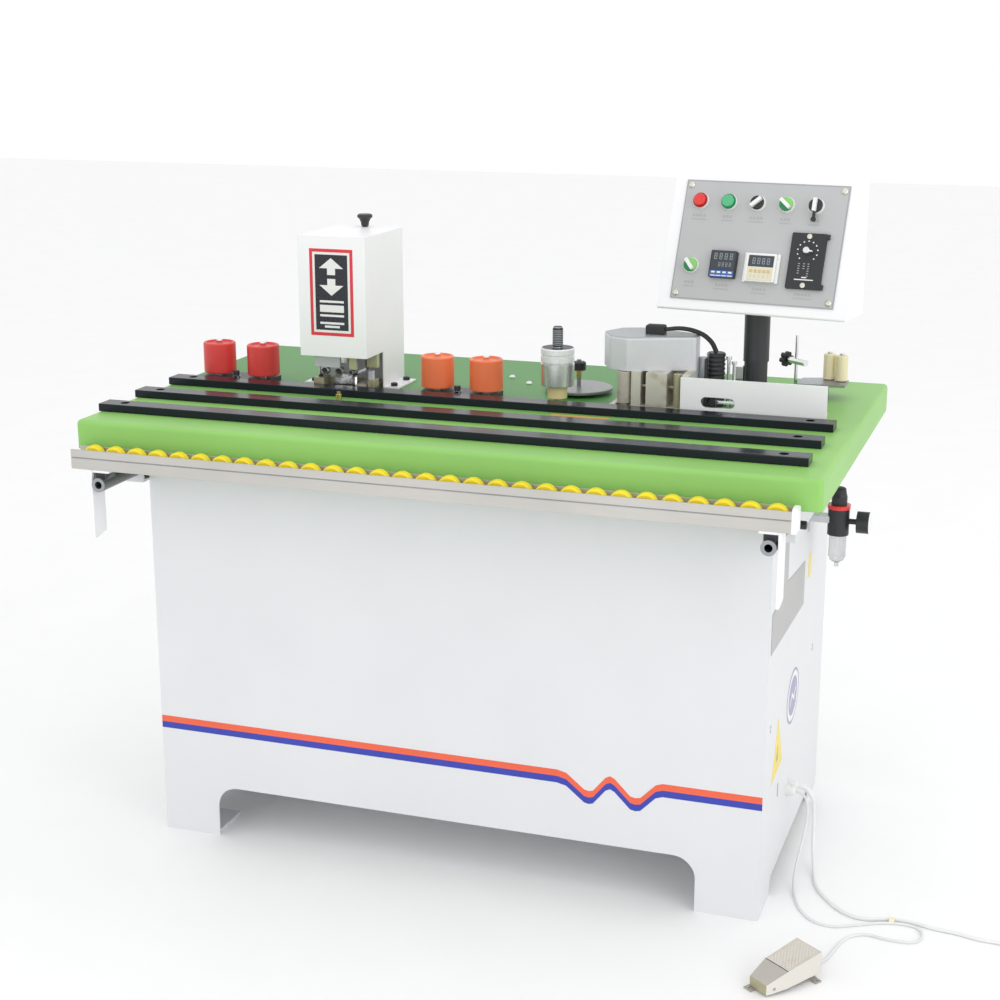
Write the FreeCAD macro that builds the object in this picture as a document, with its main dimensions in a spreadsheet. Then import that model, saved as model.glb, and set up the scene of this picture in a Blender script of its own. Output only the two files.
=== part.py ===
import FreeCAD, Part
import math
import os
import re

import Sketcher
from FreeCAD import Placement, Rotation, Vector

# Edge banding machine: a floor cabinet with a green worktable, a slide-out roller rail,
# press rollers, a trimming unit, a glue pot, an infeed fence and a control box on a post.
# Frame: +X along the machine towards the infeed end, +Y to the back, +Z up, millimetres.
# Origin: on the floor, at the centre of the four anchor-bolt holes.

SIZES = {
    # worktable
    "table_length": 1300,
    "table_depth": 784,
    "table_top": 800,
    "apron": 51,
    "table_skin": 8,
    "apron_skin": 10,
    # cabinet
    "cabinet_length": 1124,
    "cabinet_depth": 604,
    "sheet": 3,
    "leg_width": 110,
    "arch_height": 99,
    "arch_radius": 40,
    "side_arch": 30,
    "side_leg": 100,
    "anchor_x": 507,
    "anchor_y": 252,
    "anchor_radius": 7,
    # glide bars
    "bar_length": 1262,
    "bar_width": 40,
    "bar_height": 14,
    "bar_front": -317,
    "bar_pitch": 126,
    "bar_centre": -17,
    "bar_hole_inset": 42,
    # slide-out roller rail
    "rail_length": 1245,
    "rail_centre": -11.5,
    "rail_front": -437,
    "rail_width": 34,
    "rail_low": 725,
    "rail_high": 759,
    "rail_wall": 3,
    "wheel_radius": 18.5,
    "wheel_width": 16,
    "wheel_pitch": 40.8,
    "first_wheel": -597,
    "wheel_height": 747,
    "tube_x": 579,
    "tube_z": 701,
    "tube_radius": 12.5,
    "tube_bore": 6.5,
    "tube_front": -444,
    "tube_length": 504,
    "guide_front": -325,
    "guide_length": 210,
    "guide_outer": 600,
    "lock_y": -299,
    # press rollers
    "press_radius": 31,
    "press_low": 814,
    "press_height": 58,
    "press_y": 24,
    "pin_radius": 6,
    # trimming unit
    "cover_left": -380,
    "cover_right": -246,
    "cover_front": -45,
    "cover_back": 141,
    "cover_top": 1092,
    "cover_open": 870,
    "cover_leg": 35,
    "cover_sheet": 2,
    "trim_x": -313,
    "trim_y": 8,
    "cutter_radius": 24,
    "screw_x": -317,
    "screw_y": 125,
    # drive roller, glue roller and the reel disc
    "drive_x": 105,
    "glue_x": 229,
    "shaft_line": 8,
    "drum_radius": 30.5,
    "tyre_radius": 18,
    "glue_radius": 12,
    "sprocket_radius": 24,
    "sprocket_low": 730,
    "disc_x": 112,
    "disc_y": 122,
    "disc_radius": 63,
    "disc_top": 811,
    # glue pot housing
    "pot_low": 869,
    "pot_height": 61,
    # infeed fence
    "fence_left": 336,
    "fence_right": 593,
    "fence_front": -9,
    "fence_thick": 6,
    "fence_low": 809,
    "fence_high": 866.5,
    # control box on its post
    "post_x": 443,
    "post_y": 126,
    "post_radius": 21,
    "post_top": 974,
    "spigot_radius": 12,
    "box_width": 345,
    "box_face": 257,
    "box_depth": 110,
    "box_tilt": 20,
    "box_turn": -8.4,
    "box_x": 448,
    "box_y": 85,
    "box_z": 1095,
    "plate_width": 297,
    "plate_height": 213,
    # band guide at the infeed end
    "band_rod_x": 501,
    "band_rod_y": 215,
    "band_plate_top": 830,
    "band_roller_radius": 11.2,
    "band_roller_height": 47,
    # air filter regulator
    "air_x": 612,
    "air_y": 74,
    # foot pedal
    "pedal_x": 638,
    "pedal_y": -484,
    "pedal_turn": -36,
    "pedal_length": 109,
    # cords
    "gland_z": 136,
    "mains_y": -31,
    "pedal_cord_y": -58,
    "mains_diameter": 6.5,
    "pedal_cord_diameter": 5,
}

doc = FreeCAD.newDocument("edge_banding_machine")
sheet = doc.addObject("Spreadsheet::Sheet", "Dimensions")
for row, (alias, number) in enumerate(SIZES.items(), start=1):
    sheet.set(f"A{row}", alias)
    sheet.set(f"B{row}", str(number))
    sheet.setAlias(f"B{row}", alias)
doc.recompute()

X_AXIS = Vector(1, 0, 0)
Y_AXIS = Vector(0, 1, 0)
Z_AXIS = Vector(0, 0, 1)
ALIAS = re.compile(r"[a-z]+[a-z_]*")

PARTS = {}


def from_sheet(expression):
    """The expression with the sheet's name before each alias."""
    return ALIAS.sub(lambda m: f"Dimensions.{m.group()}" if m.group() in SIZES else m.group(), expression)


def number(value):
    """The number that a value or an expression of aliases stands for."""
    if isinstance(value, str):
        return float(sheet.evalExpression(from_sheet(value)))
    return float(value)


def bind(item, name, value):
    """Set a property, as an expression where the value is one."""
    if isinstance(value, str):
        item.setExpression(name, from_sheet(value))
    elif name.startswith("Placement.Base."):
        base = item.Placement.Base
        setattr(base, name[-1], value)
        item.Placement = Placement(base, item.Placement.Rotation)
    else:
        setattr(item, name, value)


def place(item, at, turn=None):
    """Put an item at a point, each coordinate a number or an expression."""
    item.Placement = Placement(Vector(*(number(value) for value in at)), turn or Rotation())
    for axis, value in zip("xyz", at):
        if isinstance(value, str):
            bind(item, f"Placement.Base.{axis}", value)
    return item


def facing(direction):
    """The rotation that takes +Z to a direction."""
    return Rotation(Z_AXIS, direction)


def box(name, x, y, z):
    """A block between a low and a high value on each axis."""
    item = doc.addObject("Part::Box", name)
    for side, (low, high) in zip(("Length", "Width", "Height"), (x, y, z)):
        bind(item, side, f"({high}) - ({low})")
    return place(item, [str(low) for low, high in (x, y, z)])


def cylinder(name, radius, height, at, direction=Z_AXIS):
    item = doc.addObject("Part::Cylinder", name)
    bind(item, "Radius", radius)
    bind(item, "Height", height)
    return place(item, at, facing(direction))


def fuse(name, *items):
    item = doc.addObject("Part::MultiFuse", name)
    item.Shapes = list(items)
    return item


def group(name, *items):
    """Separate solids that share one node."""
    item = doc.addObject("Part::Compound", name)
    item.Links = list(items)
    return item


def cut(name, base, *tools):
    item = doc.addObject("Part::Cut", name)
    item.Base = base
    item.Tool = tools[0] if len(tools) == 1 else fuse(name + "_tools", *tools)
    return item


def straight_along(direction):
    """A test for straight edges that run along a direction."""
    def test(edge):
        if edge.Curve.TypeId != "Part::GeomLine":
            return False
        return abs(edge.tangentAt(edge.FirstParameter).dot(direction)) > 0.999
    return test


def rounded(name, base, radius, wanted):
    """A boolean's result with some edges rounded."""
    doc.recompute()
    item = doc.addObject("Part::Fillet", name)
    item.Base = base
    edges = enumerate(base.Shape.Edges, start=1)
    item.Edges = [(index, radius, radius) for index, edge in edges if wanted(edge)]
    return item


# --- PartDesign bodies -------------------------------------------------------------------

def new_body(name):
    return doc.addObject("PartDesign::Body", name)


def new_sketch(body, role="XY_Plane", offset=0):
    """A sketch on one of the body's own origin planes."""
    plane = next(item for item in body.Origin.OriginFeatures if item.Role == role)
    sketch = body.newObject("Sketcher::SketchObject", body.Name + "_sketch")
    sketch.AttachmentSupport = (plane, "")
    sketch.MapMode = "FlatFace"
    sketch.AttachmentOffset = Placement(Vector(0, 0, number(offset)), Rotation())
    if isinstance(offset, str):
        sketch.setExpression("AttachmentOffset.Base.z", from_sheet(offset))
    return sketch


def pin_point(sketch, geometry, point, at):
    """Fix a sketch point at two coordinates from the sketch's origin."""
    for kind, other_axis, value in (("DistanceX", -2, at[0]), ("DistanceY", -1, at[1])):
        if value == 0:
            sketch.addConstraint(Sketcher.Constraint("PointOnObject", geometry, point, other_axis))
            continue
        index = sketch.addConstraint(Sketcher.Constraint(kind, -1, 1, geometry, point, number(value)))
        if isinstance(value, str):
            sketch.setExpression(f"Constraints[{index}]", from_sheet(value))


def draw_outline(sketch, points):
    """A closed outline of straight lines."""
    corners = [Vector(number(x), number(y), 0) for x, y in points]
    first = None
    for start, end in zip(corners, corners[1:] + corners[:1]):
        line = sketch.addGeometry(Part.LineSegment(start, end), False)
        first = line if first is None else first
    count = len(corners)
    for step in range(count):
        following = first + (step + 1) % count
        sketch.addConstraint(Sketcher.Constraint("Coincident", first + step, 2, following, 1))
    for step, corner in enumerate(points):
        pin_point(sketch, first + step, 1, corner)


def draw_rectangle(sketch, low, high):
    draw_outline(sketch, [low, (high[0], low[1]), high, (low[0], high[1])])


def draw_circle(sketch, centre, radius):
    middle = Vector(number(centre[0]), number(centre[1]), 0)
    circle = sketch.addGeometry(Part.Circle(middle, Z_AXIS, number(radius)), False)
    pin_point(sketch, circle, 3, centre)
    index = sketch.addConstraint(Sketcher.Constraint("Radius", circle, number(radius)))
    if isinstance(radius, str):
        sketch.setExpression(f"Constraints[{index}]", from_sheet(radius))


def pad(body, sketch, length):
    feature = body.newObject("PartDesign::Pad", body.Name + "_pad")
    feature.Profile = sketch
    bind(feature, "Length", length)
    sketch.Visibility = False
    return feature


def pocket(body, sketch, depth, upwards=False):
    """A pocket of a stated depth, checked to have removed material."""
    doc.recompute()
    before = body.Shape.Volume
    feature = body.newObject("PartDesign::Pocket", body.Name + "_pocket")
    feature.Profile = sketch
    bind(feature, "Length", depth)
    feature.Reversed = upwards
    doc.recompute()
    if body.Shape.Volume >= before - 1e-6:
        raise RuntimeError(f"the pocket in {body.Name} cut nothing")
    return feature


def round_edges(body, radius, wanted):
    doc.recompute()
    base = body.Tip
    edges = enumerate(base.Shape.Edges, start=1)
    names = [f"Edge{index}" for index, edge in edges if wanted(edge)]
    feature = body.newObject("PartDesign::Fillet", body.Name + "_fillet")
    feature.Base = (base, names)
    bind(feature, "Radius", radius)
    return feature


def turned(name, outline, at, direction=Z_AXIS):
    """A piece turned about its own axis, from an outline of (radius, height) points."""
    body = new_body(name)
    sketch = new_sketch(body, "XZ_Plane")
    draw_outline(sketch, outline)
    feature = body.newObject("PartDesign::Revolution", name + "_turn")
    feature.Profile = sketch
    feature.ReferenceAxis = (sketch, ["V_Axis"])
    feature.Angle = 360
    return place(body, at, facing(direction))


def plate(name, outline, thickness, at, turn=None):
    """A flat piece of any outline, padded up from its lower face."""
    body = new_body(name)
    sketch = new_sketch(body)
    draw_outline(sketch, outline)
    pad(body, sketch, thickness)
    return place(body, at, turn)


def keep(node, item):
    """Name the finished sub-part."""
    item.Label = node
    PARTS[node] = item


# --- cabinet and table -------------------------------------------------------------------

def arch(name, half_width, height, radius, along_y):
    """A slot with rounded upper corners, run right through the cabinet."""
    reach = ("-cabinet_length", "cabinet_length")
    span = (f"-({half_width})", half_width)
    inner = (f"-({half_width}) + {radius}", f"{half_width} - {radius}")
    low = ("-10", f"{height} - {radius}")
    full = ("-10", height)
    if along_y:
        blocks = [box(name + "_wide", span, reach, low), box(name + "_tall", inner, reach, full)]
        direction = Y_AXIS
    else:
        blocks = [box(name + "_wide", reach, span, low), box(name + "_tall", reach, inner, full)]
        direction = X_AXIS
    corners = []
    for side in ("-1", "1"):
        across = f"{side} * ({half_width} - {radius})"
        at = (across, "-cabinet_length", f"{height} - {radius}")
        if not along_y:
            at = ("-cabinet_length", across, f"{height} - {radius}")
        corners.append(cylinder(name + "_corner", radius, "2 * cabinet_length", at, direction))
    return fuse(name, *blocks, *corners)


def slide_guide(side):
    """The box on the cabinet's side that one guide tube slides through."""
    face = "cabinet_length / 2"
    ends = ("guide_front", "guide_front + guide_length")
    outer_x = (face, "guide_outer") if side > 0 else ("-guide_outer", f"-({face})")
    inner_x = (f"{face} - 1", "guide_outer - 4") if side > 0 else ("4 - guide_outer", f"1 - {face}")
    shell = box("guide_shell", outer_x, ends, ("tube_z - 23", "tube_z + 23"))
    hollow_y = ("guide_front + 6", "guide_front + guide_length - 6")
    hollow = box("guide_hollow", inner_x, hollow_y, ("tube_z - 19", "tube_z + 19"))
    bore_at = (f"{side} * tube_x", "guide_front - 1", "tube_z")
    bore = cylinder("guide_bore", "tube_radius + 0.06", "guide_length + 2", bore_at, Y_AXIS)
    screw_at = (f"{side} * (guide_outer - 10)", "lock_y", "tube_z")
    screw_hole = cylinder("lock_hole", 4.06, 20, screw_at, Vector(side, 0, 0))
    return cut("slide_guide", shell, hollow, bore, screw_hole)


def make_cabinet():
    """Welded cabinet: folded sheet walls, floor shelf, foot plates and the two slide guides."""
    half_x = "cabinet_length / 2"
    half_y = "cabinet_depth / 2"
    top = "table_top - apron"
    walls = box("walls", (f"-{half_x}", half_x), (f"-{half_y}", half_y), ("0", top))
    inside_x = (f"sheet - {half_x}", f"{half_x} - sheet")
    inside_y = (f"sheet - {half_y}", f"{half_y} - sheet")
    hollow = box("hollow", inside_x, inside_y, ("-5", f"{top} - sheet"))
    lip = 40
    mouth_x = (f"{lip} - {half_x}", f"{half_x} - {lip}")
    mouth_y = (f"{lip} - {half_y}", f"{half_y} - {lip}")
    mouth = box("top_mouth", mouth_x, mouth_y, (f"{top} - 10", f"{top} + 5"))
    service_x = ("-480", "480")
    service = box("service_mouth", service_x, (f"{half_y} - 10", f"{half_y} + 10"), ("150", "690"))
    front_arch = arch("front_arch", f"{half_x} - leg_width", "arch_height", "arch_radius", True)
    side_cut = arch("side_cut", f"{half_y} - side_leg", "side_arch", "20", False)
    shell = cut("shell", walls, hollow, mouth, service, front_arch, side_cut)
    shelf = box("shelf", inside_x, inside_y, ("arch_height + 1", "arch_height + 1 + sheet"))
    feet = []
    for along in (-1, 1):
        for across in (-1, 1):
            foot_x = sorted_range(along, f"{half_x} - 105", f"{half_x} - sheet")
            foot_y = sorted_range(across, f"{half_y} - 95", f"{half_y} - sheet")
            slab = box("foot", foot_x, foot_y, ("0", "6"))
            at = (f"{along} * anchor_x", f"{across} * anchor_y", "-1")
            feet.append(cut("foot_plate", slab, cylinder("anchor", "anchor_radius", 8, at)))
    cord_holes = []
    for cord_y in ("mains_y", "pedal_cord_y"):
        at = (f"{half_x} - 20", cord_y, "gland_z")
        cord_holes.append(cylinder("cord_hole", 6, 40, at, X_AXIS))
    drilled = cut("drilled_shell", shell, *cord_holes)
    keep("cabinet_shell", fuse("cabinet", drilled, shelf, *feet, slide_guide(-1), slide_guide(1)))


def sorted_range(side, near, far):
    """A low and high pair for a stretch from near to far on one side of the centre."""
    return (near, far) if side > 0 else (f"-({far})", f"-({near})")


def make_rear_panel():
    """Bolted service panel with three rows of louvre slots."""
    body = new_body("rear_panel_body")
    sketch = new_sketch(body, "XZ_Plane")
    draw_rectangle(sketch, (-500, 130), (500, 710))
    pad(body, sketch, 2)
    for column in (-330, 0, 330):
        for step in range(6):
            low = 540 + 20 * step
            slot = new_sketch(body, "XZ_Plane")
            draw_rectangle(slot, (column - 80, low), (column + 80, low + 6))
            pocket(body, slot, 6, upwards=True)
    place(body, (0, "cabinet_depth / 2 + 2", 0))
    keep("rear_panel", body)


def make_table():
    """Table top with an apron all round and two ribs that rest on the cabinet, open below."""
    body = new_body("table_body")
    half_x = "table_length / 2"
    half_y = "table_depth / 2"
    outline = new_sketch(body, "XY_Plane", "table_top - apron")
    draw_rectangle(outline, (f"-{half_x}", f"-{half_y}"), (half_x, half_y))
    pad(body, outline, "apron")
    round_edges(body, 9, straight_along(Z_AXIS))
    doc.recompute()
    crown = number("table_top")
    round_edges(body, 8, lambda edge: edge.BoundBox.ZMin > crown - 0.01)
    inner_x = f"{half_x} - apron_skin"
    inner_y = f"{half_y} - apron_skin"
    rib = "cabinet_length / 2 - 35"
    bays = [(f"-({inner_x})", f"-({rib}) - 28"), (f"-({rib})", rib), (f"{rib} + 28", inner_x)]
    for low, high in bays:
        recess = new_sketch(body, "XY_Plane", "table_top - apron")
        draw_rectangle(recess, (low, f"-({inner_y})"), (high, inner_y))
        pocket(body, recess, "apron - table_skin", upwards=True)
    holes = new_sketch(body, "XY_Plane", "table_top")
    draw_circle(holes, ("drive_x", "shaft_line"), 11)
    draw_circle(holes, ("glue_x", "shaft_line"), 10)
    for x, y in BAR_SCREWS + COVER_BOLTS:
        draw_circle(holes, (x, y), 4)
    draw_circle(holes, (CONDUIT_X, CONDUIT_Y), 14)
    pocket(body, holes, "table_skin + 2")
    window = new_sketch(body, "XY_Plane", "table_top")
    draw_rectangle(window, ("trim_x - 32", -20), ("trim_x + 32", 44))
    pocket(body, window, "table_skin + 2")
    keep("table_top", body)


BAR_SCREWS = [
    (
        f"bar_centre + {side} * (bar_length / 2 - bar_hole_inset)",
        f"bar_front + bar_width / 2 + {row} * bar_pitch",
    )
    for row in range(3) for side in (-1, 1)
]
COVER_BOLTS = [(x, y) for x in ("cover_left - 15", "cover_right + 15") for y in (50, 112)]
CONDUIT_X = 378
CONDUIT_Y = 88


def make_bars():
    """Three low-friction strips with a counterbored screw hole near each end."""
    bars = []
    for row in range(3):
        front = f"bar_front + {row} * bar_pitch"
        body = new_body(f"bar_{row + 1}")
        outline = new_sketch(body)
        left = "bar_centre - bar_length / 2"
        right = "bar_centre + bar_length / 2"
        draw_rectangle(outline, (left, front), (right, f"{front} + bar_width"))
        pad(body, outline, "bar_height")
        round_edges(body, 1.5, straight_along(X_AXIS))
        ends = BAR_SCREWS[2 * row:2 * row + 2]
        for radius, depth in ((4, "bar_height + 2"), (8, "bar_height - 5")):
            holes = new_sketch(body, "XY_Plane", "bar_height")
            for centre in ends:
                draw_circle(holes, centre, radius)
            pocket(body, holes, depth)
        bars.append(place(body, (0, 0, "table_top")))
    keep("glide_bars", group("bars", *bars))


def cap_screw(name, at, head_radius, head_height, grip):
    """A screw whose head stands on the point, with its shank below."""
    outline = [
        (0, -grip), (3.9, -grip), (3.9, 0), (head_radius, 0),
        (head_radius, head_height - 1), (head_radius - 1, head_height),
        (2.5, head_height), (2.5, 1.5), (0, 1.5),
    ]
    return turned(name, outline, at)


def make_table_screws():
    """Screws of the glide bars, bolts of the trimming cover's feet and small studs on the table."""
    screws = []
    for index, (x, y) in enumerate(BAR_SCREWS):
        screws.append(cap_screw(f"bar_screw_{index}", (x, y, "table_top + 5"), 6.5, 5, 16))
    for index, (x, y) in enumerate(COVER_BOLTS):
        screws.append(cap_screw(f"cover_bolt_{index}", (x, y, "table_top + 3"), 6.5, 6, 14))
    for x, y in ((-49, 211), (1, 163)):
        dome = [(0, 0), (6, 0), (6, 2), (4, 5), (0, 6)]
        screws.append(turned("domed_screw", dome, (x, y, "table_top")))
    stop = [(0, 0), (5.5, 0), (5.5, 12), (3.5, 13), (3.5, 17), (0, 17)]
    screws.append(turned("strip_stop", stop, (-281, -95, "table_top")))
    keep("table_screws", group("screws", *screws))


# --- slide-out roller rail ---------------------------------------------------------------

def make_rail():
    """Open-topped extruded channel with a fine groove along its front face."""
    body = new_body("rail_body")
    sketch = new_sketch(body, "YZ_Plane")
    front = "rail_front"
    back = "rail_front + rail_width"
    groove = "rail_high - 14"
    draw_outline(sketch, [
        (front, "rail_low"), (back, "rail_low"), (back, "rail_high"),
        (f"{back} - rail_wall", "rail_high"), (f"{back} - rail_wall", "rail_low + rail_wall"),
        (f"{front} + rail_wall", "rail_low + rail_wall"), (f"{front} + rail_wall", "rail_high"),
        (front, "rail_high"), (front, f"{groove} + 0.8"), (f"{front} + 1", groove),
        (front, f"{groove} - 0.8"),
    ])
    pad(body, sketch, "rail_length")
    place(body, ("rail_centre - rail_length / 2", 0, 0))
    keep("rail_channel", body)


WHEEL_COUNT = 30


def make_wheels():
    """Thirty skate wheels, each on its own stub axle between the rail's walls."""
    wheels = []
    inside = "rail_width - 2 * rail_wall"
    for index in range(WHEEL_COUNT):
        half_gap = f"({inside}) / 2"
        outline = [
            (0, 0), (3, 0), (3, f"{half_gap} - wheel_width / 2"),
            ("wheel_radius - 3", f"{half_gap} - wheel_width / 2"),
            ("wheel_radius", f"{half_gap} - wheel_width / 2 + 3"),
            ("wheel_radius", f"{half_gap} + wheel_width / 2 - 3"),
            ("wheel_radius - 3", f"{half_gap} + wheel_width / 2"),
            (3, f"{half_gap} + wheel_width / 2"), (3, inside), (0, inside),
        ]
        at = (f"first_wheel + {index} * wheel_pitch", "rail_front + rail_wall", "wheel_height")
        wheels.append(turned(f"wheel_{index + 1}", outline, at, Y_AXIS))
    keep("rail_wheels", group("wheels", *wheels))


def make_rail_fittings():
    """End cap of the rail at the infeed end, and the angle bracket that carries it at each end."""
    pieces = []
    end = "rail_centre + rail_length / 2"
    back = "rail_front + rail_width"
    cap = box("cap", (end, f"{end} + 8"), ("rail_front", back), ("rail_low - 1", "rail_high + 4"))
    pieces.append(rounded("end_cap", cap, 8, is_upper_corner))
    for side in (-1, 1):
        flange_x = sorted_range(side, "tube_x - 17", "tube_x + 19")
        flange = box("flange", flange_x, ("rail_front", back), ("rail_low - 4", "rail_low"))
        leg_x = sorted_range(side, "tube_x + 14", "tube_x + 19")
        leg = leg_plate(side, leg_x)
        pieces.append(fuse("bracket", flange, leg))
    keep("rail_end_fittings", group("fittings", *pieces))


def is_upper_corner(edge):
    """The cap's two upper edges that run along X."""
    return straight_along(X_AXIS)(edge) and edge.BoundBox.ZMin > number("rail_high + 3")


def leg_plate(side, leg_x):
    """The bracket's hanging leg, cut off at a slant at its foot."""
    body = new_body("bracket_leg")
    sketch = new_sketch(body, "YZ_Plane")
    front = "rail_front - 3"
    back = "rail_front + rail_width + 1"
    foot = "rail_low - 121"
    draw_outline(sketch, [
        (front, foot), (f"{front} + 8", foot), (back, f"{foot} + 6"),
        (back, "rail_low"), (front, "rail_low"),
    ])
    pad(body, sketch, 5)
    return place(body, (leg_x[0], 0, 0))


def make_guide_tubes():
    """Two steel guide tubes, each with the black saddle that the rail's bracket sits on."""
    pieces = []
    for side in (-1, 1):
        at = (f"{side} * tube_x", "tube_front", "tube_z")
        rod = cylinder("tube_outside", "tube_radius", "tube_length", at, Y_AXIS)
        saddle_x = (f"{side} * tube_x - 10", f"{side} * tube_x + 10")
        saddle_z = ("tube_z", "rail_low - 4")
        saddle = box("saddle", saddle_x, ("rail_front + 2", "rail_front + rail_width - 2"), saddle_z)
        bore_start = (at[0], "tube_front - 1", at[2])
        bore = cylinder("tube_inside", "tube_bore", "tube_length + 2", bore_start, Y_AXIS)
        pieces.append(cut("guide_tube", fuse("tube_and_saddle", rod, saddle), bore))
    keep("guide_tubes", group("tubes", *pieces))


def make_lock_screw(node, side):
    """Thumb screw that clamps a guide tube, its tip just short of the tube at rest."""
    tip = "tube_x + tube_radius + 0.2"
    reach = "guide_outer - tube_x - tube_radius - 0.2"
    outline = [
        (0, 0), (4, 0), (4, f"{reach} + 3"), (7, f"{reach} + 3"),
        (7, f"{reach} + 12"), (5.5, f"{reach} + 13.5"), (0, f"{reach} + 13.5"),
    ]
    piece = turned(node + "_body", outline, (f"{side} * ({tip})", "lock_y", "tube_z"), Vector(side, 0, 0))
    keep(node, piece)


# --- press rollers -----------------------------------------------------------------------

PRESS_X = [-584, -491, -133, -37]


def make_roller_brackets():
    """Two black plates, each with two roller pins and one set screw on a washer."""
    pieces = []
    for first, second in ((0, 1), (2, 3)):
        left = PRESS_X[first]
        right = PRESS_X[second]
        slab_z = ("table_top", "table_top + 9")
        slab = box("bracket_slab", (left - 24, right + 24), ("-10", "press_y + 26"), slab_z)
        pieces.append(slab)
        for x in (left, right):
            outline = [
                (0, 0), (12, 0), (12, 4.6), ("pin_radius", 4.6),
                ("pin_radius", "press_height + 8"), (4.5, "press_height + 10"), (0, "press_height + 10"),
            ]
            pieces.append(turned("roller_pin", outline, (x, "press_y", "table_top + 9")))
        middle = (left + right) / 2
        outline = [(0, 0), (7, 0), (7, 4), (6, 4), (6, 13), (5, 14), (0, 14)]
        pieces.append(turned("set_screw", outline, (middle, 0, "table_top + 9")))
    keep("roller_brackets", group("brackets", *pieces))


def make_press_roller(index, x):
    """Soft press roller with a dished top, free to turn on its pin."""
    outline = [
        ("pin_radius + 0.06", 0), ("press_radius - 1.5", 0), ("press_radius", 1.5),
        ("press_radius", "press_height - 2"), ("press_radius - 2", "press_height"),
        ("press_radius - 5", "press_height"), ("press_radius - 7", "press_height - 3"),
        ("pin_radius + 5", "press_height - 3"), ("pin_radius + 0.06", "press_height - 1"),
    ]
    keep(f"press_roller_{index}", turned(f"press_{index}", outline, (x, "press_y", "press_low")))


# --- trimming unit -----------------------------------------------------------------------

def make_trim_cover():
    """Sheet cover: a box open below, cut up at the front, on two side legs with foot flanges."""
    low = "table_top"
    across = ("cover_left", "cover_right")
    shell = box("cover_outside", across, ("cover_front", "cover_back"), (low, "cover_top"))
    shell = rounded("cover_round", shell, 3, straight_along(Z_AXIS))
    hollow = box(
        "cover_hollow",
        ("cover_left + cover_sheet", "cover_right - cover_sheet"),
        ("cover_front + cover_sheet", "cover_back - cover_sheet"),
        (f"{low} - 1", "cover_top - cover_sheet"),
    )
    opening = box("cover_opening", ("cover_left - 1", "cover_right + 1"), ("cover_front - 1", "cover_leg"),
                  (f"{low} - 1", "cover_open"))
    back_cut = box("cover_back_cut", ("cover_left + 12", "cover_right - 12"),
                   ("cover_back - 5", "cover_back + 5"), (f"{low} - 1", "cover_open"))
    knob_hole = cylinder("knob_hole", 6, 10, ("screw_x", "screw_y", "cover_top - 5"))
    case = cut("cover_case", shell, hollow, opening, back_cut, knob_hole)
    flanges = []
    for side, edge in ((-1, "cover_left"), (1, "cover_right")):
        span = (f"{edge} - 30", edge) if side < 0 else (edge, f"{edge} + 30")
        slab = box("foot_flange", span, ("cover_leg", "cover_leg + 90"), (low, f"{low} + 3"))
        holes = []
        for y in (50, 112):
            holes.append(cylinder("flange_hole", 4, 10, (f"{edge} + {side} * 15", y, f"{low} - 3")))
        flanges.append(cut("flange", slab, *holes))
    keep("trim_cover", fuse("cover", case, *flanges))


def make_trim_base():
    """Slotted column on a base plate, with the lower trimming motor hung under the table."""
    slab = box("base_slab", ("trim_x - 56", "trim_x + 56"), ("-22", "93"), ("table_top", "table_top + 8"))
    window_z = ("table_top - 1", "table_top + 9")
    window = box("base_window", ("trim_x - 28", "trim_x + 28"), ("-25", "44"), window_z)
    column = box("column", ("trim_x - 50", "trim_x + 50"), ("77", "93"), ("table_top", "1064"))
    slot = box("column_slot", ("screw_x - 9", "screw_x + 9"), ("70", "97"), ("869", "1049"))
    motor_at = ("trim_x", "trim_y", "table_top - 190")
    motor = cylinder("lower_motor", 27, 165, motor_at)
    hanger_z = ("table_top - 60", "table_top - 8")
    hanger_x = ("trim_x - 12", "trim_x + 12")
    hanger = box("hanger", hanger_x, ("trim_y + 20", "80"), hanger_z)
    thrust = box("thrust_block", ("screw_x - 14", "screw_x + 14"), ("92", "134"), ("852", "866.6"))
    frame = cut("trim_frame", fuse("frame_blocks", slab, column, thrust), window, slot)
    keep("trim_base", group("base", frame, fuse("lower_drive", motor, hanger)))


def make_trim_head():
    """Upper trimming motor on its carriage, with the nut that the height screw drives."""
    motor = cylinder("upper_motor", 24, 138, ("trim_x", "trim_y", 897))
    nose = cylinder("motor_nose", 17, 18, ("trim_x", "trim_y", 879))
    carriage = box("carriage", ("trim_x - 40", "trim_x + 40"), ("59", "76.6"), ("889", "1019"))
    web = box("motor_web", ("trim_x - 15", "trim_x + 15"), ("26", "62"), ("899", "1009"))
    arm = box("nut_arm", ("screw_x - 8", "screw_x + 8"), ("72", "screw_y + 9"), ("909", "933"))
    body = fuse("head_blocks", motor, nose, carriage, web, arm)
    bore = cylinder("nut_bore", 5.06, 40, ("screw_x", "screw_y", 899))
    spindle_bore = cylinder("spindle_bore", 6.06, 40, ("trim_x", "trim_y", 869))
    keep("trim_head_upper", cut("head", body, bore, spindle_bore))


def make_cutters():
    """Upper and lower trimming cutters, each turned in one with its spindle."""
    upper = [
        (0, 0), (8, 0), (8, 3), ("cutter_radius", 3), ("cutter_radius", 15),
        (10, 15), (10, 22), (6, 22), (6, 52), (0, 52),
    ]
    keep("trim_cutter_upper", turned("upper_cutter", upper, ("trim_x", "trim_y", 851)))
    lower = [
        (0, 0), (6, 0), (6, 38), ("cutter_radius", 38), ("cutter_radius", 50),
        (8, 50), (8, 54), (0, 54),
    ]
    keep("trim_cutter_lower", turned("lower_cutter", lower, ("trim_x", "trim_y", "table_top - 24.7")))


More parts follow.
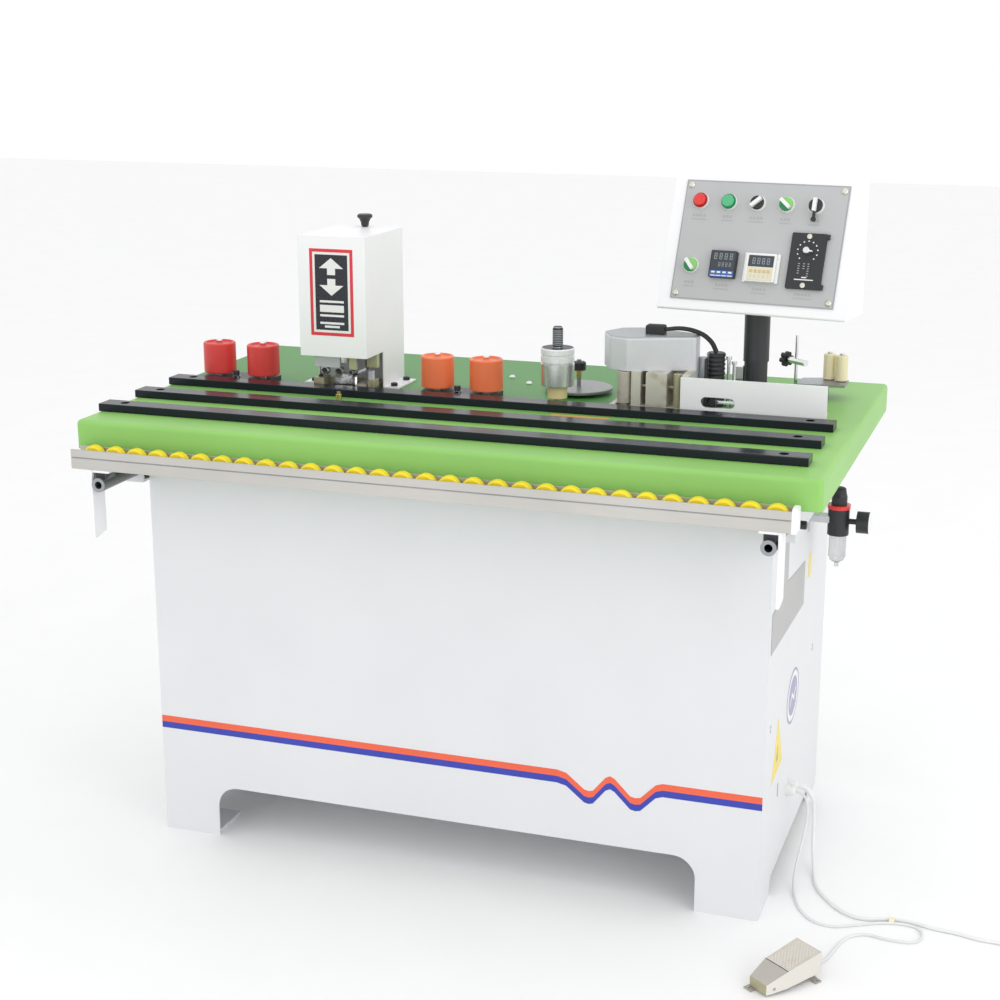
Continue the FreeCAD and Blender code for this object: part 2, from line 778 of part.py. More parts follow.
def make_height_knob():
    """Round knob on the long screw that lifts the upper trimming head."""
    body = [
        (0, 0), (5, 0), (5, 227), (7, 227), (8, 234), (11, 240), (14.5, 243),
        (14.5, 247), (12, 249), (0, 249),
    ]
    keep("trim_height_knob", turned("height_knob", body, ("screw_x", "screw_y", 867)))


# --- drive roller, reel disc and glue pot ------------------------------------------------

def make_drive_roller():
    """Grooved drum, soft tyre and sprocket on one vertical shaft."""
    drum = [
        (8, 0), ("drum_radius - 1", 0), ("drum_radius", 1), ("drum_radius", 40),
        ("drum_radius - 2", 41), ("drum_radius - 2", 43), ("drum_radius", 44),
        ("drum_radius", 54), ("drum_radius - 2", 55), ("drum_radius - 2", 57),
        ("drum_radius", 58), ("drum_radius", 67), ("drum_radius - 2", 69), (8, 69),
    ]
    shaft = [
        (0, -113), (8, -113), (8, -82), ("sprocket_radius", -82), ("sprocket_radius", -72),
        (8, -72), (8, 129), (7, 130), (0, 130),
    ]
    tyre = [(8, 0), ("tyre_radius", 0), ("tyre_radius", 22.5), (8, 22.5)]
    line = ("drive_x", "shaft_line")
    pieces = [
        turned("drive_drum", drum, (*line, 835)),
        turned("drive_shaft", shaft, (*line, 812)),
        turned("drive_tyre", tyre, (*line, 812)),
    ]
    keep("drive_roller", group("roller_on_shaft", *pieces))


def make_reel_disc():
    """Flat round plate on a hub, with the threaded stud that the disc knob runs on."""
    outline = [
        (0, 0), (30, 0), (30, "disc_top - table_top - 5"), ("disc_radius", "disc_top - table_top - 5"),
        ("disc_radius", "disc_top - table_top - 1"), ("disc_radius - 1", "disc_top - table_top"),
        (4, "disc_top - table_top"), (4, 62), (0, 62),
    ]
    keep("reel_disc", turned("disc", outline, ("disc_x", "disc_y", "table_top")))


def make_disc_knob():
    """Small clamping knob on a brass neck."""
    outline = [(4.06, 0), (5, 0), (5, 12), (11, 13), (13, 15), (13, 28), (11, 30), (4.06, 30)]
    keep("disc_knob", turned("clamp_knob", outline, ("disc_x", "disc_y", "disc_top + 17")))


def make_glue_tank():
    """Heated glue block: base, upright cheeks beside the glue roller, and the tank behind."""
    low = "table_top"
    top = "pot_low"
    slab = box("tank_slab", ("glue_x - 24", "350"), ("0", "120"), (low, f"{low} + 9"))
    roller_gap = cylinder("roller_gap", "glue_radius + 3", 30, ("glue_x", "shaft_line", f"{low} - 5"))
    cheeks = []
    for left, right, front in ((244, 261, 2), (271, 309, 0), (336, 350, 0)):
        cheeks.append(box("cheek", (left, right), (front, "62"), (f"{low} + 9", top)))
    guide_post = cylinder("guide_post", 7.5, "pot_low - table_top - 9", (327, 8, f"{low} + 9"))
    tank = box("tank_block", ("214", "350"), ("60", "112"), (f"{low} + 9", top))
    well = box("tank_well", ("224", "340"), ("68", "104"), (f"{low} + 25", f"{top} + 1"))
    rods = []
    for left, right in ((260, 272), (308, 337)):
        rods.append(cylinder("cross_rod", 2.5, right - left, (left, 20, 842), X_AXIS))
    blocks = fuse("tank_blocks", slab, *cheeks, guide_post, tank, *rods)
    keep("glue_tank", cut("tank", blocks, roller_gap, well))


def make_glue_roller():
    """Glue roller with its sprocket on one shaft."""
    outline = [
        (0, -95), (7, -95), (7, -82), ("sprocket_radius", -82), ("sprocket_radius", -72),
        (7, -72), (7, 0), ("glue_radius", 0), ("glue_radius", 56), (0, 56),
    ]
    keep("glue_roller", turned("glue_spreader", outline, ("glue_x", "shaft_line", "table_top + 12")))


POT_OUTLINE = [(200, 16), (236, 2), (350, 50), (350, 84), (275, 114), (232, 118), (198, 105), (177, 61)]


def make_pot_housing():
    """D-shaped cover of the glue pot, hollow and open below."""
    body = new_body("housing_body")
    outline = new_sketch(body)
    draw_outline(outline, POT_OUTLINE)
    pad(body, outline, "pot_height")
    round_edges(body, 10, straight_along(Z_AXIS))
    doc.recompute()
    crown = number("pot_height")
    round_edges(body, 5, lambda edge: edge.BoundBox.ZMin > crown - 0.01)
    inside = new_sketch(body)
    middle_x = sum(x for x, y in POT_OUTLINE) / len(POT_OUTLINE)
    middle_y = sum(y for x, y in POT_OUTLINE) / len(POT_OUTLINE)
    shrink = 0.9
    draw_outline(inside, [
        (middle_x + shrink * (x - middle_x), middle_y + shrink * (y - middle_y)) for x, y in POT_OUTLINE
    ])
    pocket(body, inside, "pot_height - 5", upwards=True)
    place(body, (0, 0, "pot_low"))
    keep("pot_housing", body)


# The plug on the housing that the heater leads come from.
LEAD_X = 277
LEAD_Y = 56


def tube_path(points, share):
    """A path of straight runs joined by tangent arcs, each as large as its runs allow.

    Returns the wire and the radii of its arcs."""
    corners = [Vector(*point) for point in points]
    edges = []
    radii = []
    start = corners[0]
    for before, corner, after in zip(corners, corners[1:], corners[2:]):
        inward = (corner - before).normalize()
        outward = (after - corner).normalize()
        turn = inward.getAngle(outward)
        reach = share * min((corner - before).Length, (after - corner).Length)
        radius = reach / math.tan(turn / 2)
        radii.append(radius)
        arc_start = corner - inward * reach
        arc_end = corner + outward * reach
        towards = (outward - inward).normalize()
        middle = corner + towards * (radius / math.cos(turn / 2) - radius)
        edges.append(Part.LineSegment(start, arc_start).toShape())
        edges.append(Part.Arc(arc_start, middle, arc_end).toShape())
        start = arc_end
    edges.append(Part.LineSegment(start, corners[-1]).toShape())
    return Part.Wire(edges), radii


def tube(name, points, diameter):
    """A round cord along a route, checked against its section times its length."""
    wire, radii = tube_path(points, 0.45)
    direction = Vector(*points[1]) - Vector(*points[0])
    ring = Part.Wire(Part.Circle(Vector(*points[0]), direction, diameter / 2).toShape())
    solid = wire.makePipeShell([ring], True, False)
    expected = wire.Length * math.pi * diameter ** 2 / 4
    error = solid.Volume / expected - 1
    print(f"{name}: length {wire.Length:.1f} mm, volume off by {100 * error:.2f} %")
    print(f"{name}: arc radii", " ".join(f"{radius:.0f}" for radius in radii))
    item = doc.addObject("Part::Feature", name)
    item.Shape = solid
    return item


def make_heater_lead():
    """Black plug on the pot housing and the two leads that arc from it into the conduit."""
    crown = "pot_low + pot_height"
    plug = box("plug", (LEAD_X - 20, LEAD_X + 14), (LEAD_Y - 10, LEAD_Y + 10), (crown, f"{crown} + 17"))
    plug = rounded("plug_round", plug, 4, lambda edge: edge.BoundBox.ZMin > number(crown) + 1)
    leads = []
    for offset in (-5, 5):
        route = [
            (LEAD_X + 15, LEAD_Y + offset, 939),
            (LEAD_X + 36, LEAD_Y + 4 + offset, 942),
            (LEAD_X + 58, LEAD_Y + 12 + offset, 939),
            (LEAD_X + 79, LEAD_Y + 21 + offset, 930),
            (LEAD_X + 94, LEAD_Y + 28 + offset, 915),
            (CONDUIT_X, CONDUIT_Y + offset, 897.6),
        ]
        leads.append(tube(f"heater_lead_{offset}", route, 6))
    keep("heater_lead", group("leads", plug, *leads))


def make_lead_conduit():
    """Ribbed black conduit that takes the heater leads down through the table, and a small post."""
    outline = [(0, -14), (13, -14), (13, 0), (17, 0)]
    rib = 8
    for step in range(11):
        low = 5 + rib * step
        outline += [(17, low), (15.5, low + 2), (15.5, low + 4), (17, low + 6)]
    outline += [(17, 95), (15, 97), (0, 97)]
    conduit = turned("conduit", outline, (CONDUIT_X, CONDUIT_Y, "table_top"))
    barrel = [(0, 0), (8.5, 0), (8.5, 89), (7, 91), (0, 91)]
    side_post = turned("side_post", barrel, (359.6, 68.6, "table_top"))
    keep("lead_conduit", group("conduit_set", conduit, side_post))


# --- infeed fence ------------------------------------------------------------------------

def make_fence():
    """Infeed fence plate with one long rounded slot."""
    body = new_body("fence_body")
    sketch = new_sketch(body, "XZ_Plane")
    draw_rectangle(sketch, ("fence_left", "fence_low"), ("fence_right", "fence_high"))
    pad(body, sketch, "fence_thick")
    slot = new_sketch(body, "XZ_Plane")
    draw_rectangle(slot, (382, 815.5), (424, 834.5))
    slot_start = new_sketch(body, "XZ_Plane")
    draw_circle(slot_start, (382, 825), 9.5)
    slot_end = new_sketch(body, "XZ_Plane")
    draw_circle(slot_end, (424, 825), 9.5)
    for profile in (slot, slot_start, slot_end):
        pocket(body, profile, 20, upwards=True)
    place(body, (0, "fence_front + fence_thick", 0))
    keep("fence_plate", body)


def make_infeed_bracket():
    """Angle behind the fence, the clamp screw in the fence's slot, and the band linkage."""
    back = "fence_front + fence_thick + 0.3"
    upright = box("upright", ("438", "585"), (back, f"{back} + 7"), ("table_top", "860"))
    foot = box("foot", ("438", "585"), (back, "58"), ("table_top", "table_top + 8"))
    narrow = box("narrow_ear", ("388", "398"), (back, f"{back} + 8"), ("table_top", "832"))
    narrow_foot = box("narrow_foot", ("388", "440"), (f"{back}", "30"), ("table_top", "table_top + 8"))
    screw = [(0, 0), (4, 0), (4, 2), (6.5, 2), (6.5, 7), (0, 7)]
    clamp = turned("slot_screw", screw, (393, "fence_front + fence_thick + 0.3", 825), Vector(0, -1, 0))
    rod = cylinder("slot_rod", 3, 37, (398, 10, 823), X_AXIS)
    pieces = [fuse("angle", upright, foot, narrow, narrow_foot), clamp, rod]
    posts = []
    for x, y, height in ((402, 84, 92), (412, 83, 84)):
        outline = [(0, 0), (5, 0), (5, 5), (3, 5), (3, height - 6), (5, height - 6), (5, height), (0, height)]
        posts.append(turned("linkage_post", outline, (x, y, "table_top")))
    block = box("linkage_block", (411, 428), (84, 99), ("table_top + 12", "table_top + 74"))
    link = box("linkage_bar", (400, 414), (82, 86), ("table_top + 36", "table_top + 42"))
    pieces.append(fuse("linkage", *posts, block, link))
    keep("infeed_bracket", group("bracket_set", *pieces))


# --- control box -------------------------------------------------------------------------

def make_post():
    """Round post on a flange, with a wider upper sleeve and the spigot that the box turns on."""
    outline = [
        (0, 0), (34, 0), (34, 8), ("post_radius", 8), ("post_radius", 79),
        ("post_radius + 2", 79), ("post_radius + 2", "post_top - table_top"),
        ("spigot_radius", "post_top - table_top"), ("spigot_radius", "post_top - table_top + 16"),
        (0, "post_top - table_top + 16"),
    ]
    keep("post", turned("post_body", outline, ("post_x", "post_y", "table_top")))


def panel_frame():
    """The rotation of the panel's own axes: x across the face, z out of the face."""
    turn = Rotation(Z_AXIS, number("box_turn"))
    tilt = Rotation(X_AXIS, 90 - number("box_tilt"))
    return turn * tilt


def on_panel(across, up, out=0.0):
    """A point on the panel, from the centre of its face."""
    centre = Vector(number("box_x"), number("box_y"), number("box_z"))
    return centre + panel_frame().multVec(Vector(across, up, out))


PLATE_THICK = 2


def make_control_box():
    """Wedge-shaped console: tilted face, upright back, level floor, hollow inside."""
    body = new_body("console")
    sketch = new_sketch(body, "YZ_Plane")
    lean = "box_face * sin(box_tilt)"
    rise = "box_face * cos(box_tilt)"
    draw_outline(sketch, [(0, 0), ("box_depth", 0), ("box_depth", rise), (lean, rise)])
    pad(body, sketch, "box_width")
    round_edges(body, 4, straight_along(X_AXIS))
    doc.recompute()
    inner = new_sketch(body, "YZ_Plane", 3)
    draw_outline(inner, [
        (5, 3), ("box_depth - 3", 3), ("box_depth - 3", f"{rise} - 3"), (f"{lean} + 1", f"{rise} - 3"),
    ])
    pocket(body, inner, "box_width - 6", upwards=True)
    shift = panel_frame().multVec(Vector(-number("box_width") / 2, -number("box_face") / 2, 0))
    centre = Vector(number("box_x"), number("box_y"), number("box_z"))
    body.Placement = Placement(centre + shift, Rotation(Z_AXIS, number("box_turn")))
    collar = cylinder("collar", 20, 14, ("post_x", "post_y", "post_top + 0.6"))
    socket = cylinder("socket", "spigot_radius + 0.06", 40, ("post_x", "post_y", "post_top - 10"))
    keep("control_box", cut("console_on_collar", fuse("console_and_collar", body, collar), socket))


def make_panel_plate():
    """Grey face plate with its four corner screws."""
    body = new_body("face_plate")
    sketch = new_sketch(body)
    half_x = "plate_width / 2"
    half_y = "plate_height / 2"
    draw_rectangle(sketch, (f"-{half_x}", f"-{half_y}"), (half_x, half_y))
    pad(body, sketch, PLATE_THICK)
    body.Placement = Placement(on_panel(0, 0), panel_frame())
    pieces = [body]
    for across in (-1, 1):
        for up in (-1, 1):
            outline = [(0, 0), (4, 0), (4, 1.2), (2.5, 2.2), (0, 2.2)]
            screw = turned("plate_screw", outline, (0, 0, 0))
            screw.Placement = Placement(on_panel(across * 140, up * 98, PLATE_THICK), panel_frame())
            pieces.append(screw)
    keep("panel_plate", group("plate_set", *pieces))


def panel_piece(node, outline, across, up, out):
    """A turned control on the panel, its axis square to the face."""
    piece = turned(node + "_turned", outline, (0, 0, 0))
    piece.Placement = Placement(on_panel(across, up, out), panel_frame())
    return piece


def put_on_panel(item, at):
    """Set a piece drawn in the panel's own frame just clear of the face plate."""
    item.Placement = Placement(on_panel(at[0], at[1], PLATE_THICK + 0.4), panel_frame())
    return item


BEZEL_RADIUS = 14.5
BEZEL_HEIGHT = 5
CAP_GAP = 0.4
CONTROLS = {
    "button_red": (-118, 70),
    "button_green": (-65, 70),
    "selector_black": (-12, 70),
    "selector_green_upper": (41, 70),
    "key_switch": (94, 70),
    "selector_green_lower": (-118, -47),
}
DIAL_AT = (92, -11)


def make_instruments():
    """Fixed things on the panel: bezels, temperature controller, timer, speed controller."""
    pieces = []
    for node, (across, up) in CONTROLS.items():
        bore = 11 + CAP_GAP
        ring = [(bore, 0), (BEZEL_RADIUS, 0), (BEZEL_RADIUS - 1, BEZEL_HEIGHT), (bore, BEZEL_HEIGHT)]
        pieces.append(panel_piece(node + "_bezel", ring, across, up, PLATE_THICK))
    faces = {
        "temperature_controller": (-57, -43, 48, 48, 9),
        "timer": (13, -45, 54, 50, 10),
        "speed_controller": (91.5, -28, 62, 98, 6),
    }
    for name, (across, up, width, height, depth) in faces.items():
        block = new_body(name)
        sketch = new_sketch(block)
        draw_rectangle(sketch, (-width / 2, -height / 2), (width / 2, height / 2))
        pad(block, sketch, depth)
        round_edges(block, 2, straight_along(Z_AXIS))
        block.Placement = Placement(on_panel(across, up, PLATE_THICK), panel_frame())
        pieces.append(block)
    keep("panel_instruments", group("instruments", *pieces))


SELECTOR_LEAN = {"selector_black": 42, "selector_green_upper": -40, "selector_green_lower": -50}


def leaning_bar(lean):
    """Outline of a selector's grip, 20 by 7, turned from level by an angle in degrees."""
    turn = math.radians(lean)
    corners = [(-10, -3.5), (10, -3.5), (10, 3.5), (-10, 3.5)]
    return [
        (x * math.cos(turn) - y * math.sin(turn), x * math.sin(turn) + y * math.cos(turn))
        for x, y in corners
    ]


def make_buttons_and_knobs():
    """Push buttons, selector knobs, key and speed dial."""
    button = [(0, 0), (11, 0), (11, 6), (9.5, 8), (0, 8)]
    for node in ("button_red", "button_green"):
        across, up = CONTROLS[node]
        keep(node, panel_piece(node, button, across, up, PLATE_THICK + 4.4))
    for node in ("selector_black", "selector_green_upper", "selector_green_lower"):
        base = turned(node + "_base", [(0, 0), (11, 0), (11, 7), (9.5, 8.5), (0, 8.5)], (0, 0, 0))
        grip = plate(node + "_grip", leaning_bar(SELECTOR_LEAN[node]), 9, (0, 0, 8))
        keep(node, put_on_panel(fuse(node + "_knob", base, grip), CONTROLS[node]))
    barrel = turned("key_barrel", [(0, 0), (11, 0), (11, 6), (9, 9), (0, 9)], (0, 0, 0))
    key = box("key_bow", ("-1.3", "1.3"), ("-9", "9"), ("8", "30"))
    keep("key_switch", put_on_panel(fuse("key_and_barrel", barrel, key), CONTROLS["key_switch"]))
    dial = [(0, 0), (8, 0), (8, 4), (6.5, 12), (5.5, 13), (0, 13)]
    keep("speed_dial", panel_piece("dial", dial, *DIAL_AT, PLATE_THICK + 6.3))


# --- band guide --------------------------------------------------------------------------

def make_band_guide():
    """Guide plate on a block, its two roller pins and the upright rod."""
    slab = plate(
        "guide_slab",
        [("band_rod_x + 8", 184), (594, 196), (594, 248), (560, 262), ("band_rod_x + 8", 244)],
        5, (0, 0, "band_plate_top - 5"),
    )
    block = box("guide_block", ("520", "560"), ("195", "235"), ("table_top", "band_plate_top - 5"))
    rod = [(0, 0), (6, 0), (6, 5), (3, 5), (3, 114), (0, 114)]
    upright = turned("band_rod", rod, ("band_rod_x", "band_rod_y", "table_top"))
    pieces = [fuse("guide_frame", slab, block), upright]
    for x, y in BAND_ROLLERS:
        outline = [
            (0, 0), (5, 0), (5, 0.7), (3, 0.7), (3, "band_roller_height + 2"),
            (5, "band_roller_height + 2"), (5, "band_roller_height + 5"), (0, "band_roller_height + 5"),
        ]
        pieces.append(turned("guide_pin", outline, (x, y, "band_plate_top")))
    keep("guide_plate", group("guide_set", *pieces))


BAND_ROLLERS = [(558, 245), (582, 234)]


def make_guide_roller(index, x, y):
    outline = [
        (3.06, 0), ("band_roller_radius - 1", 0), ("band_roller_radius", 1),
        ("band_roller_radius", "band_roller_height - 1"), ("band_roller_radius - 1", "band_roller_height"),
        (3.06, "band_roller_height"),
    ]
    keep(f"guide_roller_{index}", turned(f"band_roller_{index}", outline, (x, y, "band_plate_top + 1")))


CLAMP_DIRECTION = Vector(0.78, -0.62, 0).normalize()
CLAMP_Z = 866


def clamp_point(distance, aside=0.0):
    """A point on the clamp rod's line, from the upright rod."""
    rod = Vector(number("band_rod_x"), number("band_rod_y"), CLAMP_Z)
    side = CLAMP_DIRECTION.cross(Z_AXIS)
    return tuple(rod + CLAMP_DIRECTION * distance + side * aside)


def make_band_clamp():
    """Cross clamp on the upright rod, its arm bored for the star knob's screw."""
    arm = cylinder("clamp_arm", 6, 44, clamp_point(-18), CLAMP_DIRECTION)
    rod_bore = cylinder("clamp_bore", 3.06, 40, ("band_rod_x", "band_rod_y", CLAMP_Z - 20))
    screw_bore = cylinder("clamp_screw_bore", 2.06, 17, clamp_point(-19), CLAMP_DIRECTION)
    keep("band_clamp", cut("clamp", arm, rod_bore, screw_bore))


def make_star_knob():
    """Six-lobed knob with its screw."""
    lobes = []
    for step in range(6):
        angle = math.radians(60 * step)
        lobes.append(cylinder("lobe", 4.6, 9, (9.6 * math.cos(angle), 9.6 * math.sin(angle), 0)))
    core = cylinder("star_core", 9.5, 9, (0, 0, 0))
    neck = cylinder("star_neck", 5, 4, (0, 0, 9))
    screw = cylinder("star_screw", 2, 18.9, (0, 0, 9))
    star = fuse("star", core, neck, screw, *lobes)
    star.Placement = Placement(Vector(*clamp_point(-31.4)), facing(CLAMP_DIRECTION))
    keep("star_knob", star)


# --- air regulator, pedal and cords ------------------------------------------------------

def make_air_regulator():
    """Filter regulator on a side bracket: body, locking ring, bowl and pressure gauge."""
    line = ("air_x", "air_y")
    cup_outline = [(0, 0), (19, 0), (19, 48), (14.3, 48), (14.3, 44), (0, 44)]
    body = turned("regulator_core", cup_outline, (*line, 584))
    ring = turned("lock_ring", [(14.3, 0), (20.5, 0), (20.5, 7), (14.3, 7)], (*line, 632))
    bowl = turned("bowl", [(0, 0), (4, 0), (4, 7), (12, 12), (15.5, 20), (15.5, 60), (0, 60)], (*line, 524))
    gauge_outline = [(0, 0), (5, 0), (5, 14), (19.5, 14), (19.5, 36), (18, 37), (0, 37)]
    gauge = turned("gauge", gauge_outline, ("air_x + 19", "air_y", 609), X_AXIS)
    wall = "cabinet_length / 2"
    arm = box("regulator_arm", (wall, "air_x - 10"), ("air_y - 12", "air_y + 12"), ("606", "618"))
    foot = box("regulator_foot", (wall, f"{wall} + 3"), ("air_y - 25", "air_y + 25"), ("590", "634"))
    cored = fuse("regulator_on_bracket", body, arm, foot)
    keep("air_regulator", group("regulator_set", cored, ring, bowl, gauge))


def make_regulator_knob():
    outline = [(0, 0), (13.9, 0), (13.9, 26), (12.5, 30), (11, 40), (8, 42), (0, 42)]
    keep("regulator_knob", turned("pressure_knob", outline, ("air_x", "air_y", 628.3)))


def pedal_frame():
    return Placement(
        Vector(number("pedal_x"), number("pedal_y"), 0), Rotation(Z_AXIS, number("pedal_turn"))
    )


def make_pedal():
    """Foot switch: a flat base with two lugs and a rear post, and the hinged wedge tread.

    Its own axes: +Y to the heel, where the cord comes out, +X to the right."""
    half = "pedal_length / 2"
    base = new_body("pedal_floor")
    sketch = new_sketch(base)
    toe = f"4 - {half}"
    heel = f"{half} - 4"
    draw_outline(sketch, [(-14, toe), (14, toe), (23, heel), (-23, heel)])
    pad(base, sketch, 4)
    tower = box("pedal_tower", ("-20", "20"), (f"{half} - 14", f"{half} - 4"), ("0", "30"))
    lug_front = box("front_lug", ("-24", "-8"), (f"-{half} - 8", f"14 - {half}"), ("0", "3"))
    lug_rear = box("rear_lug", ("12", "34"), (f"{half} - 16", f"{half} - 4"), ("0", "3"))
    ears = []
    for side in (-1, 1):
        low, high = (side * 13, side * 9) if side < 0 else (side * 9, side * 13)
        ears.append(box("pin_ear", (low, high), (-46, -34), (0, 18)))
    pin = cylinder("pedal_pin", 2.5, 42, (-21, -40, 12), X_AXIS)
    holes = [
        cylinder("lug_hole", 2.2, 6, (-16, f"-{half} - 3", -1)),
        cylinder("lug_hole", 2.2, 6, (30, f"{half} - 10", -1)),
    ]
    floor = cut("pedal_frame", fuse("pedal_blocks", base, tower, lug_front, lug_rear, *ears, pin), *holes)
    floor.Placement = pedal_frame()
    keep("pedal_base", floor)

    outside = pedal_wedge("tread_outside", 0, 0)
    inside = pedal_wedge("tread_inside", 2.2, 2.2)
    heel_gap = box("heel_gap", ("-25.5", "25.5"), (f"{half} - 8", f"{half} + 5"), ("0", "42"))
    pin_bore = cylinder("tread_bore", 2.56, 80, (-40, -40, 12), X_AXIS)
    under = plate(
        "under_cut",
        [(f"-{half} - 20", 0), (f"{half} + 20", 0), (f"{half} + 20", 15), (-44, 4.5),
         (f"-{half} - 20", 4.5)],
        100, (-50, 0, 0), Rotation(Y_AXIS, 90) * Rotation(Z_AXIS, 90),
    )
    tread = cut("tread", outside, inside, heel_gap, pin_bore, under)
    tread.Placement = pedal_frame()
    keep("pedal_tread", tread)


def pedal_wedge(name, skin, drop):
    """The wedge of the tread, narrower and lower at the toe, shrunk by a skin thickness."""
    half = number("pedal_length") / 2
    low = 0.0 if skin == 0 else -5.0
    sections = []
    profile = ((-half + skin, 18.7, 21.6), (-15.8, 26.0, 36.3), (half - skin, 28.0, 49.4))
    for along, half_width, top in profile:
        width = half_width - skin
        height = top - drop
        corners = [(-width, low), (width, low), (width, height), (-width, height)]
        wire = Part.makePolygon([Vector(x, along, z) for x, z in corners + corners[:1]])
        sections.append(wire)
    lofts = [Part.makeLoft(sections[step:step + 2], True, True) for step in (0, 1)]
    item = doc.addObject("Part::Feature", name)
    item.Shape = lofts[0].fuse(lofts[1]).removeSplitter()
    return item


def make_glands():
    """The two cord glands on the cabinet's right side."""
    pieces = []
    for cord_y, cord in (("mains_y", "mains_diameter"), ("pedal_cord_y", "pedal_cord_diameter")):
        bore = f"{cord} / 2 + 0.3"
        outline = [
            (bore, -8), (5.9, -8), (5.9, 0), (10, 0), (10, 6), (8.5, 6),
            (8.5, 13), (6, 17), (bore, 17),
        ]
        pieces.append(turned("cord_gland", outline, ("cabinet_length / 2", cord_y, "gland_z"), X_AXIS))
    keep("cord_glands", group("glands", *pieces))


# The cords' routes, point by point: out of the gland, down to the floor and along it.
MAINS_ROUTE = [
    (566, -31, 136), (588, -31, 136), (601, -32, 127), (608, -33, 111), (610, -34, 87),
    (611, -38, 58), (614, -52, 30), (620, -80, 10), (627, -114, 3.5), (637, -154, 3.5),
    (662, -194, 3.5), (694, -230, 3.5), (729, -244, 3.5), (766, -229, 3.5), (804, -224, 3.5),
    (844, -236, 3.5), (884, -239, 3.5), (922, -250, 3.5), (955, -249, 3.5), (980, -258, 3.5),
    (1000, -278, 3.5),
]
PEDAL_ROUTE = [
    (566, -58, 136), (587, -58, 136), (598, -61, 128), (603, -66, 112), (604, -74, 88),
    (600, -98, 56), (596, -128, 25), (598, -162, 8), (606, -196, 2.5), (622, -242, 2.5),
    (650, -277, 2.5), (684, -285, 2.5), (716, -268, 2.5), (772, -236, 2.5), (830, -237, 2.5),
    (832, -295, 2.5), (774, -298, 2.5), (744, -288, 2.5), (718, -304, 2.5), (704, -336, 2.5),
    (698, -368, 2.5), (692, -398, 4), (681, -424, 10), (667.9, -442.8, 15),
]
COIL_CENTRE = (1046, -314)


def make_cords():
    """Mains lead with its coil and plug, and the pedal's cord."""
    keep("mains_lead", tube("mains_tube", MAINS_ROUTE, number("mains_diameter")))
    keep("pedal_cord", tube("pedal_tube", PEDAL_ROUTE, number("pedal_cord_diameter")))
    coil = [(28, 0), (50, 0), (50, 21), (28, 21)]
    keep("mains_coil", turned("coil", coil, (*COIL_CENTRE, 0)))
    shell = box("plug_shell", ("-13", "13"), ("-19", "19"), ("0", "34"))
    shell = rounded("plug_shell_round", shell, 6, straight_along(Z_AXIS))
    pieces = [shell]
    for x in (-8, 8):
        pieces.append(cylinder("plug_pin", 2.4, 20, (x, 0, 33)))
    tail = cylinder("plug_tail", 6, 16, (0, 0, -15))
    plug = fuse("plug_body", tail, *pieces)
    plug.Placement = Placement(Vector(COIL_CENTRE[0] + 10, COIL_CENTRE[1] - 72, 13), Rotation(Y_AXIS, 90))
    keep("mains_plug", plug)


# --- inside the cabinet ------------------------------------------------------------------

def make_feed_motor():
    """Gear motor hung under the table on four spacers, its hollow output on the drive shaft."""
    middle = "shaft_line"
    across = ("drive_x - 55", "drive_x + 55")
    gearbox = box("gearbox", across, (f"{middle} - 60", f"{middle} + 60"), ("635", "705"))
    bore = cylinder("output_bore", 8.06, 20, ("drive_x", middle, 686))
    motor = cylinder("motor_can", 48, 170, ("drive_x", f"{middle} + 60", 672), Y_AXIS)
    spacers = []
    for x in (-48, 48):
        for y in (-52, 52):
            foot = (f"drive_x + {x}", f"{middle} + {y}", 705)
            spacers.append(cylinder("spacer", 7, "table_top - table_skin - 705", foot))
    keep("feed_motor", fuse("motor", cut("gear_case", gearbox, bore), motor, *spacers))


def make_chain():
    """Drive chain round the two sprockets, a plain band of its outer size."""
    inner = number("sprocket_radius") + 0.5
    outer = inner + 6
    start = Vector(number("drive_x"), number("shaft_line"), number("sprocket_low") + 1)
    end = Vector(number("glue_x"), number("shaft_line"), number("sprocket_low") + 1)
    loops = []
    for radius in (outer, inner):
        up = Vector(0, radius, 0)
        out = Vector(radius, 0, 0)
        edges = [
            Part.LineSegment(start + up, end + up).toShape(),
            Part.Arc(end + up, end + out, end - up).toShape(),
            Part.LineSegment(end - up, start - up).toShape(),
            Part.Arc(start - up, start - out, start + up).toShape(),
        ]
        loops.append(Part.Wire(edges))
    band = Part.Face(loops[0]).cut(Part.Face(loops[1]))
    item = doc.addObject("Part::Feature", "chain_band")
    item.Shape = band.extrude(Vector(0, 0, 8)).Solids[0]
    keep("drive_chain", item)


def make_electrics():
    """Mounting plate on the floor shelf with the contactors, supply and drive on it."""
    shelf = "arch_height + 1 + sheet"
    board = box("board", ("150", "480"), ("200", "203"), (shelf, f"{shelf} + 300"))
    foot = box("board_foot", ("150", "480"), ("160", "203"), (shelf, f"{shelf} + 3"))
    units = []
    places = (
        (170, 220, 45, 80, 75), (225, 220, 45, 80, 75), (290, 200, 90, 120, 95),
        (395, 210, 60, 100, 60), (170, 330, 260, 40, 40),
    )
    for left, low, width, tall, deep in places:
        units.append(box("unit", (left, left + width), (200 - deep, "200"), (low, low + tall)))
    keep("electrics_board", fuse("electrics", board, foot, *units))


